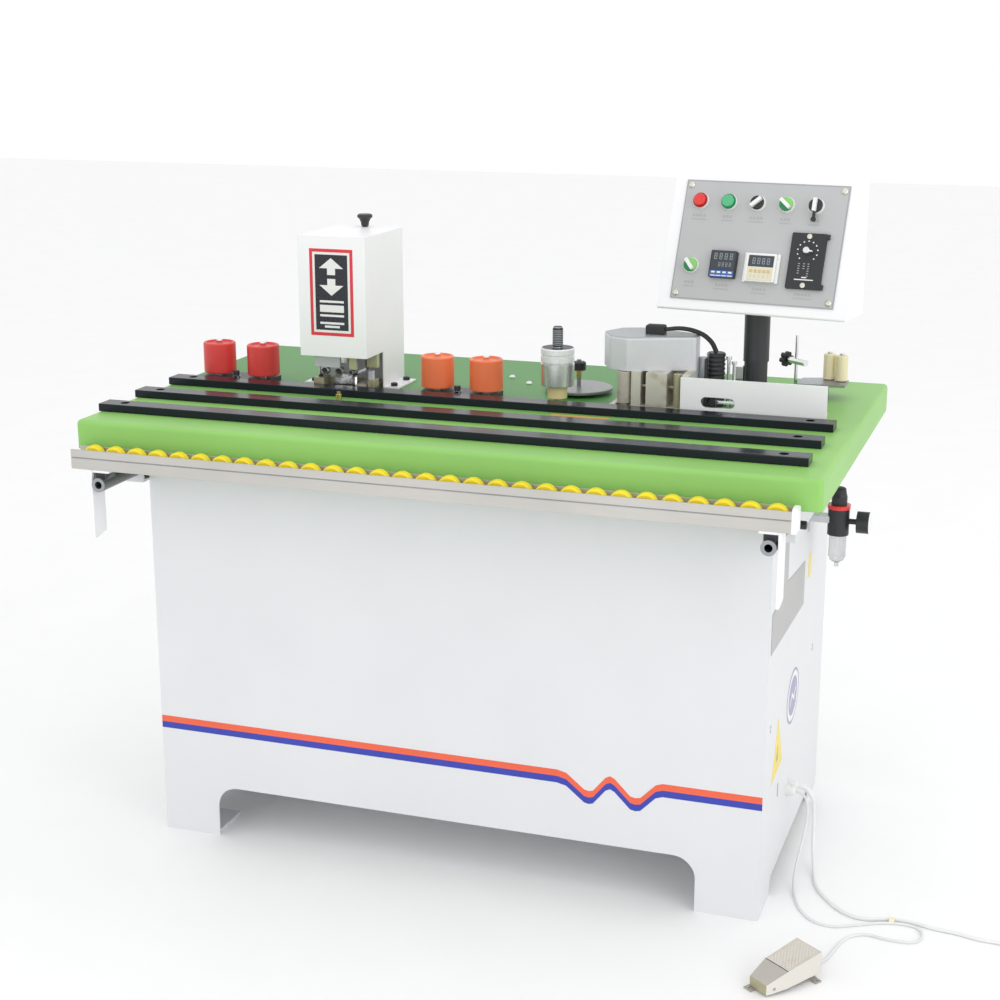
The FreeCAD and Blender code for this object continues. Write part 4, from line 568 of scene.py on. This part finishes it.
FRONT = Place((0, -302, 0), (1, 0, 0), (0, 0, 1))
SIDE = Place((562, 0, 0), (0, 1, 0), (0, 0, 1))
COVER_FRONT = Place((-313, -45, 0), (1, 0, 0), (0, 0, 1))
BOX_TURN = math.radians(-8.4)
BOX_TILT = math.radians(20)
PANEL = Place(
    (448, 85, 1095),
    (math.cos(BOX_TURN), math.sin(BOX_TURN), 0),
    (-math.sin(BOX_TURN) * math.sin(BOX_TILT), math.cos(BOX_TURN) * math.sin(BOX_TILT), math.cos(BOX_TILT)),
)


def slab(name, where, outline, low, high, material, body, edge=0.0):
    """An outline on a working place, raised from one height to another."""
    count = len(outline)
    points = [where.point(u, v, low) for u, v in outline] + [where.point(u, v, high) for u, v in outline]
    faces = [tuple(range(count)), tuple(range(count, 2 * count))]
    faces += [(step, (step + 1) % count, count + (step + 1) % count, count + step) for step in range(count)]
    return make_mesh(name, points, faces, material, body, edge)


def rectangle(u, v, width, height):
    """A rectangle's outline round its middle."""
    return [(u - width / 2, v - height / 2), (u + width / 2, v - height / 2),
            (u + width / 2, v + height / 2), (u - width / 2, v + height / 2)]


def ellipse(u, v, width, height, count=48):
    """An ellipse's outline round its middle."""
    angles = [2 * math.pi * step / count for step in range(count)]
    return [(u + width / 2 * math.cos(angle), v + height / 2 * math.sin(angle)) for angle in angles]


def ring(name, where, inner, outer, low, high, material, body):
    """A flat frame between two outlines of the same number of points."""
    count = len(inner)
    points = []
    for outline, height in ((inner, low), (outer, low), (outer, high), (inner, high)):
        points += [where.point(u, v, height) for u, v in outline]
    faces = []
    for band in range(4):
        this = band * count
        other = (band + 1) % 4 * count
        for step in range(count):
            follow = (step + 1) % count
            faces.append((this + step, this + follow, other + follow, other + step))
    return make_mesh(name, points, faces, material, body)


def lathe(name, where, outline, material, body, at=(0, 0), count=40):
    """A round piece turned about the out direction, from (radius, height) pairs."""
    u, v = at
    points = []
    for radius, height in outline:
        for step in range(count):
            angle = 2 * math.pi * step / count
            points.append(where.point(u + radius * math.cos(angle), v + radius * math.sin(angle), height))
    faces = []
    for row in range(len(outline) - 1):
        this = row * count
        above = this + count
        for step in range(count):
            follow = (step + 1) % count
            faces.append((this + step, this + follow, above + follow, above + step))
    faces.append(tuple(range(count)))
    last = (len(outline) - 1) * count
    faces.append(tuple(range(last, last + count)))
    piece = make_mesh(name, points, faces, material, body, smooth=True)
    piece.data.set_sharp_from_angle(angle=math.radians(35))
    return piece


def block(name, low, high, material, body, edge=0.6):
    """A block between two corners, with eased edges."""
    outline = [(low[0], low[1]), (high[0], low[1]), (high[0], high[1]), (low[0], high[1])]
    return slab(name, upright(0, 0), outline, low[2], high[2], material, body, edge)


def upright(x, y, z=0.0):
    """A working place whose out direction is up."""
    return Place((x, y, z), (1, 0, 0), (0, 1, 0))


def on_panel(place):
    """A place's distances across, up and out of the control panel."""
    offset = place - PANEL.origin
    return offset.dot(PANEL.across), offset.dot(PANEL.up), offset.dot(PANEL.out)


def is_plate_screw(place):
    """Whether a face of the panel's plate belongs to a corner screw."""
    across, up, out = on_panel(place)
    return math.hypot(abs(across) - 140, abs(up) - 98) < 4.3 and out > 2.05


def is_black_instrument(place):
    """Whether a face belongs to the temperature controller or the speed controller."""
    across, up, out = on_panel(place)
    return up < 30 and (across > 55 or -85 < across < -30)


# --- stickers on the cabinet -------------------------------------------------------------

def stripe_line(shift):
    """The stripe's course along the cabinet front: level, with a double dip near the right."""
    middle = 214
    course = [(-562, 0), (205, 0), (222, -4), (254, -30), (262, -32), (270, -30), (292, -3), (300, 1),
              (308, -3), (336, -31), (345, -33), (354, -31), (380, -4), (392, 0), (562, 0)]
    return [(u, middle + v + shift) for u, v in course]


def make_stripe():
    """Red line over a blue line along the front."""
    lines = (("stripe_red", 1, 13, STRIPE_RED), ("stripe_blue", -11, 1, STRIPE_BLUE))
    for name, low, high, material in lines:
        lower = stripe_line(low)
        upper = stripe_line(high)
        points = []
        for line in (lower, upper):
            for height in (0.05, 0.3):
                points += [FRONT.point(u, v, height) for u, v in line]
        count = len(lower)
        faces = []
        for step in range(count - 1):
            a, b, c, d = (step + count * row for row in range(4))
            faces.append((b, b + 1, d + 1, d))
            faces.append((a, a + 1, c + 1, c))
            faces.append((a, a + 1, b + 1, b))
            faces.append((c, c + 1, d + 1, d))
        make_mesh(name, points, faces, material, "machine")


def make_side_stickers():
    """Oval badge, yellow triangle and small tag on the right side, all with plain marks, and a grey sheet
    there that is painted shadow.
    """
    body = "machine"
    badge = Place(SIDE.point(-35, 309), SIDE.across, SIDE.up)
    rim = ellipse(0, 0, 120, 100)
    ring("badge_rim", badge, ellipse(0, 0, 108, 90), rim, 0.05, 0.35, BADGE_MAUVE, body)
    ring("badge_ring", badge, ellipse(0, 0, 84, 70), ellipse(0, 0, 109, 91), 0.05, 0.3, LABEL_WHITE, body)
    slab("badge_field", badge, ellipse(0, 0, 85, 71), 0.05, 0.3, BADGE_MAUVE, body)
    wave = [(-28, -8), (-10, 10), (10, -4), (28, 12), (28, 4), (10, -12), (-10, 2), (-28, -16)]
    slab("badge_wave", badge, wave, 0.3, 0.45, LABEL_WHITE, body)
    corners = [(-225, 216), (-126, 225), (-178, 322)]
    slab("warning_triangle", SIDE, corners, 0.05, 0.3, WARNING_YELLOW, body)
    slab("triangle_mark", SIDE, [(-186, 242), (-170, 242), (-176, 272)], 0.3, 0.42, OLIVE_METAL, body)
    slab("small_tag", SIDE, rectangle(91, 516, 28, 44), 0.05, 0.3, WARNING_YELLOW, body)
    # A thin grey L-shaped sheet on the side is painted shadow.
    plate = [(-283, 470), (36, 459), (34, 540), (-144, 556), (-150, 690), (-200, 690), (-186, 548),
             (-283, 540)]
    slab("side_shadow_sheet", SIDE, plate, 0.05, 0.8, SIDE_SHADOW_GREY, body)
    slab("door_pin", SIDE, rectangle(-157, 179, 4, 24), 0.05, 1.2, CREAM_METAL, body)
    for y in (-253, 172):
        for z in (326, 334):
            slab("latch_mark", SIDE, rectangle(y, z, 10, 4), 0.05, 0.3, PRINT_AND_SHADE_GREY, body)


# --- label on the trimming cover ---------------------------------------------------------

def make_cover_label():
    """Framed label with plain marks: an arrow up, an arrow down and a board between two trim lines."""
    place = COVER_FRONT
    body = "machine"
    middle = 989.5
    edge = rectangle(0, middle, 86, 160)
    ring("label_frame", place, rectangle(0, middle, 74, 148), edge, 0.05, 0.35, LABEL_RED, body)
    edge = rectangle(0, middle, 74.5, 148.5)
    ring("label_gap", place, rectangle(0, middle, 64.5, 138.5), edge, 0.05, 0.3, LABEL_WHITE, body)
    slab("label_field", place, rectangle(0, middle, 65, 139), 0.05, 0.3, LABEL_BLACK, body)
    arrow = [(-24, 0), (-8, 0), (-8, -12), (8, -12), (8, 0), (24, 0), (0, 19)]
    slab("label_up", place, [(u, 1034 + v) for u, v in arrow], 0.3, 0.45, LABEL_WHITE, body)
    slab("label_down", place, [(u, 1003 - v) for u, v in arrow], 0.3, 0.45, LABEL_WHITE, body)
    for v, width, height in ((973, 48, 4), (960, 48, 13), (947, 48, 4), (933, 48, 4), (926.5, 30, 4)):
        slab("label_mark", place, rectangle(0, v, width, height), 0.3, 0.45, LABEL_WHITE, body)


# --- trimming unit -----------------------------------------------------------------------

def make_trim_details():
    """What shows under the cover: guard, copying rings, hanging blocks, a lever, pins and stops."""
    head = "trim_head_upper"
    body = "machine"
    block("cutter_guard", (-362, -20.5, 845), (-311, -17.5, 869), CAST_ALUMINIUM, head)
    for x, radius in ((-343, 7.6), (-314, 8.2), (-290, 4.6)):
        where = Place((x, -13, 838), (1, 0, 0), (0, 0, 1))
        inner = radius * 0.62
        outline = [(inner, -4), (radius, -4), (radius, 5), (radius - 1, 6.4), (inner + 0.6, 6.4), (inner, 5)]
        lathe("copy_ring", where, outline + outline[:1], CHROME, head)
        core = [(0.4, -4), (inner, -4), (inner, 3.4), (1.6, 2.6), (0.4, 2.6)]
        lathe("ring_core", where, core, BLACK_RUBBER, head)
    block("ring_arm", (-352, -9, 832), (-338.5, -3, 868), DARK_OXIDE, head)
    block("hanging_block", (-291, -23.5, 844), (-276, -18, 869), PALE_BRASS, head)
    block("hanging_block", (-271, 12, 843), (-249.5, 24, 869), PALE_BRASS, body)
    block("dark_hanger", (-275, 16, 838), (-271.4, 24, 869), BLACK_PAINT, body)
    lever = Place((0, -22, 0), (1, 0, 0), (0, 0, 1))
    low_bar = [(-309, 819), (-287, 827), (-284, 834), (-306, 827)]
    link = [(-288, 829), (-272, 836), (-270, 842), (-286, 835)]
    high_bar = [(-274, 837), (-258, 844), (-256, 850), (-272, 843)]
    slab("lever_low", lever, low_bar, 0, 2.4, CAST_ALUMINIUM, body, 0.5)
    slab("lever_link", lever, link, -2.4, -0.2, DARK_OXIDE, body, 0.4)
    slab("lever_high", lever, high_bar, 0, 2.4, CAST_ALUMINIUM, body, 0.5)
    pin = [(2.7, 808), (2.7, 829), (1.8, 830.5), (0.4, 830.5)]
    lathe("lever_pin", upright(-280, -18), pin, CHROME, body, count=24)
    block("stop_block", (-262, -2, 822), (-253, 8, 839), CAST_ALUMINIUM, body)
    block("stop_foot", (-263, -4, 808), (-252, 26, 821.8), OLIVE_METAL, body)
    block("side_shoe", (-366, -19, 808), (-345, 12, 824), OLIVE_METAL, body)
    block("rail_shoe", (-282, -12, 808), (-265, 42, 815), CREAM_METAL, body)
    screw = [(4, 824), (4, 827.5), (3, 828.5), (0.4, 828.5)]
    lathe("shoe_screw", upright(-356, -8), screw, DARK_OXIDE, body, count=24)


# --- control box -------------------------------------------------------------------------

PLATE_FACE = 2
CONTROLLER_FACE = PLATE_FACE + 9
TIMER_FACE = PLATE_FACE + 10
SPEED_FACE = PLATE_FACE + 6
SPEED_AXIS = (92, -11)


def make_selector(node, at, lean, upper, lower):
    """A round knob with a raised white bar across it, and a colour on each side of the bar; on the green
    knobs the two colours are a lit and a shaded copy of one green, painted light and painted shade.
    """
    turn = math.radians(lean)
    across = PANEL.across * math.cos(turn) + PANEL.up * math.sin(turn)
    up = PANEL.up * math.cos(turn) - PANEL.across * math.sin(turn)
    where = Place(PANEL.point(*at), across, up)
    outline = [(11, 2.4), (11, 7.4), (12.4, 7.6), (12.4, 9.6), (11.2, 11), (0.4, 11.8)]
    knob = lathe("knob_" + node, where, outline, upper, node)
    knob.data.materials.append(lower)
    # Faces on the lower side of the bar take the lower colour, which on the green knobs is painted shade.
    for face in knob.data.polygons:
        if (face.center / MM - where.origin).dot(where.up) < 0:
            face.material_index = 1
    slab("bar_" + node, where, rectangle(0, 0, 23, 6.5), 11, 18.8, WHITE_PLASTIC, node, 0.8)
    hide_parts(node)
    return where


def make_controls():
    """Rims, selector knobs and the key switch of the panel."""
    body = "console"
    rim = [(11.3, 2), (13.4, 2), (13.4, 8.6), (12.6, 9.6), (11.3, 9.6)]
    for node, (u, v), material in (("red", (-118, 70), DEEP_RED), ("green", (-65, 70), DARK_GREEN)):
        lathe("rim_" + node, PANEL, rim + rim[:1], material, body, at=(u, v))
    make_selector("selector_black", (-12, 70), 42, BLACK_PLASTIC, BLACK_PLASTIC)
    # On the green knobs one side of the bar is painted light and the other painted shade.
    make_selector("selector_green_upper", (41, 70), -40, LIT_GREEN_PLASTIC, DARK_GREEN)
    make_selector("selector_green_lower", (-118, -47), -50, LIT_GREEN_PLASTIC, DARK_GREEN)
    where = make_selector("key_switch", (94, 70), 90, BLACK_PLASTIC, BLACK_PLASTIC)
    slab("key_stem", where, rectangle(-17, 0, 13, 5), 9, 13, BLACK_PLASTIC, "key_switch", 0.8)
    slab("key_head", where, ellipse(-25, 0, 9, 9, 20), 9.5, 12.5, BLACK_PLASTIC, "key_switch")
    outline = [(7, 8.4), (7, 14), (6, 19), (5, 20), (0.4, 20.2)]
    dial = lathe("dial_cap", PANEL, outline, CHROME, "speed_dial", at=SPEED_AXIS)
    slab("dial_pointer", PANEL, rectangle(99, -12, 7, 2.4), 13, 19, WHITE_PLASTIC, "speed_dial", 0.5)
    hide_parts("speed_dial")


def make_displays():
    """Windows, digits and keys of the temperature controller and the timer."""
    body = "console"
    top = CONTROLLER_FACE
    slab("controller_face", PANEL, rectangle(-57, -37, 44, 33), top, top + 0.5, DISPLAY_GLASS, body)
    slab("controller_band", PANEL, rectangle(-57, -60.5, 44, 12), top, top + 0.5, BLUE_PRINT, body)
    for step in range(4):
        u = -72.5 + 10.4 * step
        slab("controller_key", PANEL, rectangle(u, -58, 6.5, 3), top + 0.4, top + 1.1, WHITE_PLASTIC, body)
        slab("controller_line", PANEL, rectangle(u, -64, 9, 1.6), top + 0.4, top + 0.7, LABEL_WHITE, body)
        make_digit((-71.5 + 9.6 * step, -29.5), 5.4, 11, top + 0.4)
        make_digit((-63 + 6.6 * step, -44), 3.6, 7.4, top + 0.4)
    top = TIMER_FACE
    slab("timer_display", PANEL, rectangle(13, -34, 46, 20), top, top + 0.5, DISPLAY_GLASS, body)
    for step in range(4):
        make_digit((8.8 * step, -34), 5.2, 11, top + 0.4)
    slab("timer_keys", PANEL, rectangle(13, -56.5, 46, 23), top, top + 0.6, IVORY_PLASTIC, body)
    for step in range(5):
        u = -3 + 8 * step
        slab("timer_key", PANEL, rectangle(u, -52, 4.6, 5), top + 0.5, top + 1.3, BRASS, body)
        slab("timer_line", PANEL, rectangle(u, -61, 1.6, 5), top + 0.5, top + 0.9, CREAM_METAL, body)
    for u in (-16.5, 42.5):
        slab("timer_clip", PANEL, rectangle(u, -45, 5, 52), 2.1, 7, WHITE_PLASTIC, body, 0.6)


def make_digit(at, width, height, low):
    """A seven-segment digit that is not lit: the same plain figure of eight in every place."""
    u, v = at
    thick = width * 0.24
    for rise in (-0.5, 0, 0.5):
        bar = rectangle(u, v + rise * (height - thick), width, thick)
        slab("digit_bar", PANEL, bar, low, low + 0.25, DISPLAY_MARK, "console")
    for side in (-0.5, 0.5):
        leg = rectangle(u + side * (width - thick), v, thick, height)
        slab("digit_leg", PANEL, leg, low, low + 0.22, DISPLAY_MARK, "console")


def make_speed_controller():
    """Scale dots, marks, screws and side ears of the black speed controller."""
    body = "console"
    top = SPEED_FACE
    middle, dial_height = SPEED_AXIS
    for step in range(11):
        angle = math.radians(225 - 27 * step)
        dot = ellipse(middle + 18 * math.cos(angle), dial_height + 18 * math.sin(angle), 2.6, 2.6, 12)
        slab("dial_mark", PANEL, dot, top, top + 0.3, LABEL_WHITE, body)
    screw = [(4.6, top), (4.6, top + 1.6), (2.5, top + 2.6), (0.4, top + 2.6)]
    for v in (15, -71):
        lathe("speed_screw", PANEL, screw, SCREW_STEEL, body, at=(middle, v), count=24)
    for v in (16, -72):
        slab("speed_ear", PANEL, rectangle(124.5, v, 5, 9), 2.05, 7.6, BLACK_PLASTIC, body, 0.5)
    for v, width, height in ((-61, 34, 1.8), (-57, 9, 2)):
        mark = rectangle(middle, v, width, height)
        slab("dial_foot_mark", PANEL, mark, top, top + 0.3, LABEL_WHITE, body)
    for u, marks in ((80, 5), (89, 3), (97, 6)):
        for step in range(marks):
            mark = rectangle(u, -33 - 4.2 * step, 3.4, 1.6)
            slab("dial_side_mark", PANEL, mark, top, top + 0.3, PRINT_AND_SHADE_GREY, body)


def make_label_bars():
    """Under every control a row of small plain blocks over a thin plain line, in place of lettering."""
    labels = [(-118, 44, 4), (-65, 44, 3), (-12, 44, 4), (41, 44, 3), (94, 44, 3),
              (-118, -77, 3), (-57, -79, 4), (13, -82, 4), (92, -86, 5)]
    for u, v, count in labels:
        for step in range(count):
            at = u + 6.4 * (step - (count - 1) / 2)
            slab("label_block", PANEL, rectangle(at, v, 4.2, 4.4), 2.1, 2.25, LABEL_GREY, "console")
        slab("label_line", PANEL, rectangle(u, v - 7, 7 * count, 1.8), 2.1, 2.25, LABEL_GREY, "console")


def make_panel_details():
    """The painted shadow round the plate's edge, its corner screws and everything on it."""
    edge = rectangle(0, 0, 299, 215)
    # A thin dark frame round the plate: painted shadow along the plate's raised edge.
    ring("plate_edge_shadow", PANEL, rectangle(0, 0, 295, 211), edge, 0.6, 2.15, PRINT_AND_SHADE_GREY, "console")
    outline = [(5.6, 2), (5.6, 3.4), (3.6, 5), (0.4, 5.2)]
    for u in (-140, 140):
        for v in (-98, 98):
            lathe("plate_screw", PANEL, outline, SCREW_STEEL, "console", at=(u, v), count=24)
    make_controls()
    make_displays()
    make_speed_controller()
    make_label_bars()


# --- small details on the table ----------------------------------------------------------

def make_table_details():
    """The drive roller's sleeve, a strip of edging on the table and a dark strip of painted shade along the
    rail's groove.
    """
    drive = upright(*DRIVE_AXIS)
    sleeve = [(6, 905), (9.3, 906), (9.3, 938), (8, 940), (0.4, 940)]
    lathe("drive_sleeve", drive, sleeve, DARK_OXIDE, "drive_roller")
    for step in range(9):
        low = 908 + 3.2 * step
        thread = [(9.2, low), (9.9, low + 0.8), (9.9, low + 1.4), (9.2, low + 2.2)]
        lathe("sleeve_thread", drive, thread, GUIDE_GREY, "drive_roller", count=28)
    block("edging_strip", (122, -92, 800.1), (228, -80, 800.8), TAN_EDGE, "machine", edge=0)
    # The rail's face has a real groove; the thin dark strip along it is painted shade in the groove.
    block("rail_groove_shade", (-633, -437.25, 743.6), (610, -436.9, 744.9), GUIDE_GREY, "rail", edge=0)


# --- foot pedal --------------------------------------------------------------------------

def make_studs(name, where, places, size, height, material, body):
    """Many low diamond studs on a working place, as one mesh."""
    corners = ((-1, 0), (0, -1), (1, 0), (0, 1))
    points = []
    faces = []
    for u, v in places:
        first = len(points)
        for reach, level in ((size, -0.3), (size / 2, height)):
            points += [where.point(u + reach * a, v + reach * b, level) for a, b in corners]
        faces.append(tuple(range(first + 4, first + 8)))
        faces.append(tuple(range(first, first + 4)))
        for step in range(4):
            follow = (step + 1) % 4
            faces.append((first + step, first + follow, first + 4 + follow, first + 4 + step))
    return make_mesh(name, points, faces, material, body)


def make_pedal_details():
    """Studs on the tread's rear part, the seam before them and a screw at the side."""
    slope = math.radians(10.56)
    seam_height = 36.3
    spacing = 6.4
    along = PEDAL_ALONG * math.cos(slope) + Vector((0, 0, math.sin(slope)))
    origin = PEDAL_MIDDLE + Vector((0, 0, seam_height)) + PEDAL_ALONG * TREAD_SEAM
    tread = Place(origin, PEDAL_ACROSS, along)
    places = []
    for row in range(17):
        count = 7 if row % 2 else 6
        places += [(spacing * (step - (count - 1) / 2), 5.5 + 3.7 * row) for step in range(count)]
    make_studs("tread_studs", tread, places, 2.3, 0.8, PEDAL_CREAM, "pedal_tread")
    slab("tread_seam", tread, rectangle(0, 0.6, 51, 1.2), -0.2, 0.25, DARK_OXIDE, "pedal_tread")
    screw_place = PEDAL_MIDDLE + Vector((0, 0, 15)) + PEDAL_ACROSS * -21.2 + PEDAL_ALONG * -40
    side = Place(screw_place, -PEDAL_ALONG, (0, 0, 1))
    lathe("side_screw", side, [(3.6, 0), (3.6, 0.9), (2.4, 1.6), (0.4, 1.6)], CHROME, "pedal_tread", count=24)


# --- cords -------------------------------------------------------------------------------

def dress_cords():
    """Materials, the tie round both cords, and hiding the frame's own cord parts."""
    mains_cord.data.materials.append(CORD_WHITE)
    mains_relief.data.materials.append(WHITE_PLASTIC)
    pedal_lead.data.materials.append(CORD_GREY)
    across = Place((773, -232.5, 4.2), (0, 1, 0), (0, 0, 1))
    inner = ellipse(0, 0, 15, 7.4)
    outer = ellipse(0, 0, 16.4, 8.3)
    tie = ring("cord_tie", across, inner, outer, 0, 9, PALE_YELLOW, "machine")
    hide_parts("mains_lead", "mains_coil")
    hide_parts("pedal_cord")


# --- room --------------------------------------------------------------------------------

def make_room():
    """Near-white floor, an even pale surround and soft studio lights."""
    floor_mesh = bpy.data.meshes.new("floor")
    half = 14.0
    corners = [(-half, -half, 0), (half, -half, 0), (half, half, 0), (-half, half, 0)]
    floor_mesh.from_pydata(corners, [], [(0, 1, 2, 3)])
    floor_finish = finish("floor_finish", (0.95, 0.95, 0.955), rough=0.6, tone=0.01, grain=60, bump=0.01,
                          edge=0, gloss=0.2)
    floor = bpy.data.objects.new("floor", floor_mesh)
    floor_mesh.materials.append(floor_finish)
    bpy.context.scene.collection.objects.link(floor)
    world = bpy.data.worlds.new("world")
    world.use_nodes = True
    background = world.node_tree.nodes["Background"]
    background.inputs["Color"].default_value = (1, 1, 1, 1)
    background.inputs["Strength"].default_value = 1.0
    bpy.context.scene.world = world
    bpy.context.scene.view_settings.view_transform = "Standard"
    machine_middle = Vector((0, 0, 0.7))
    lights = (
        ("key_light", (3.2, -1.8, 2.2), 2.4, 22),
        ("front_light", (-0.4, -4.6, 1.6), 3.2, 14),
        ("top_light", (0.2, 0.2, 3.8), 3.0, 8),
    )
    for name, place, size, power in lights:
        data = bpy.data.lights.new(name, "AREA")
        data.size = size
        data.energy = power
        lamp = bpy.data.objects.new(name, data)
        lamp.location = place
        lamp.rotation_mode = "QUATERNION"
        lamp.rotation_quaternion = (machine_middle - Vector(place)).to_track_quat("-Z", "Y")
        bpy.context.scene.collection.objects.link(lamp)


paint_frame()
make_stripe()
make_side_stickers()
make_cover_label()
make_trim_details()
make_panel_details()
make_table_details()
make_pedal_details()
dress_cords()
make_room()
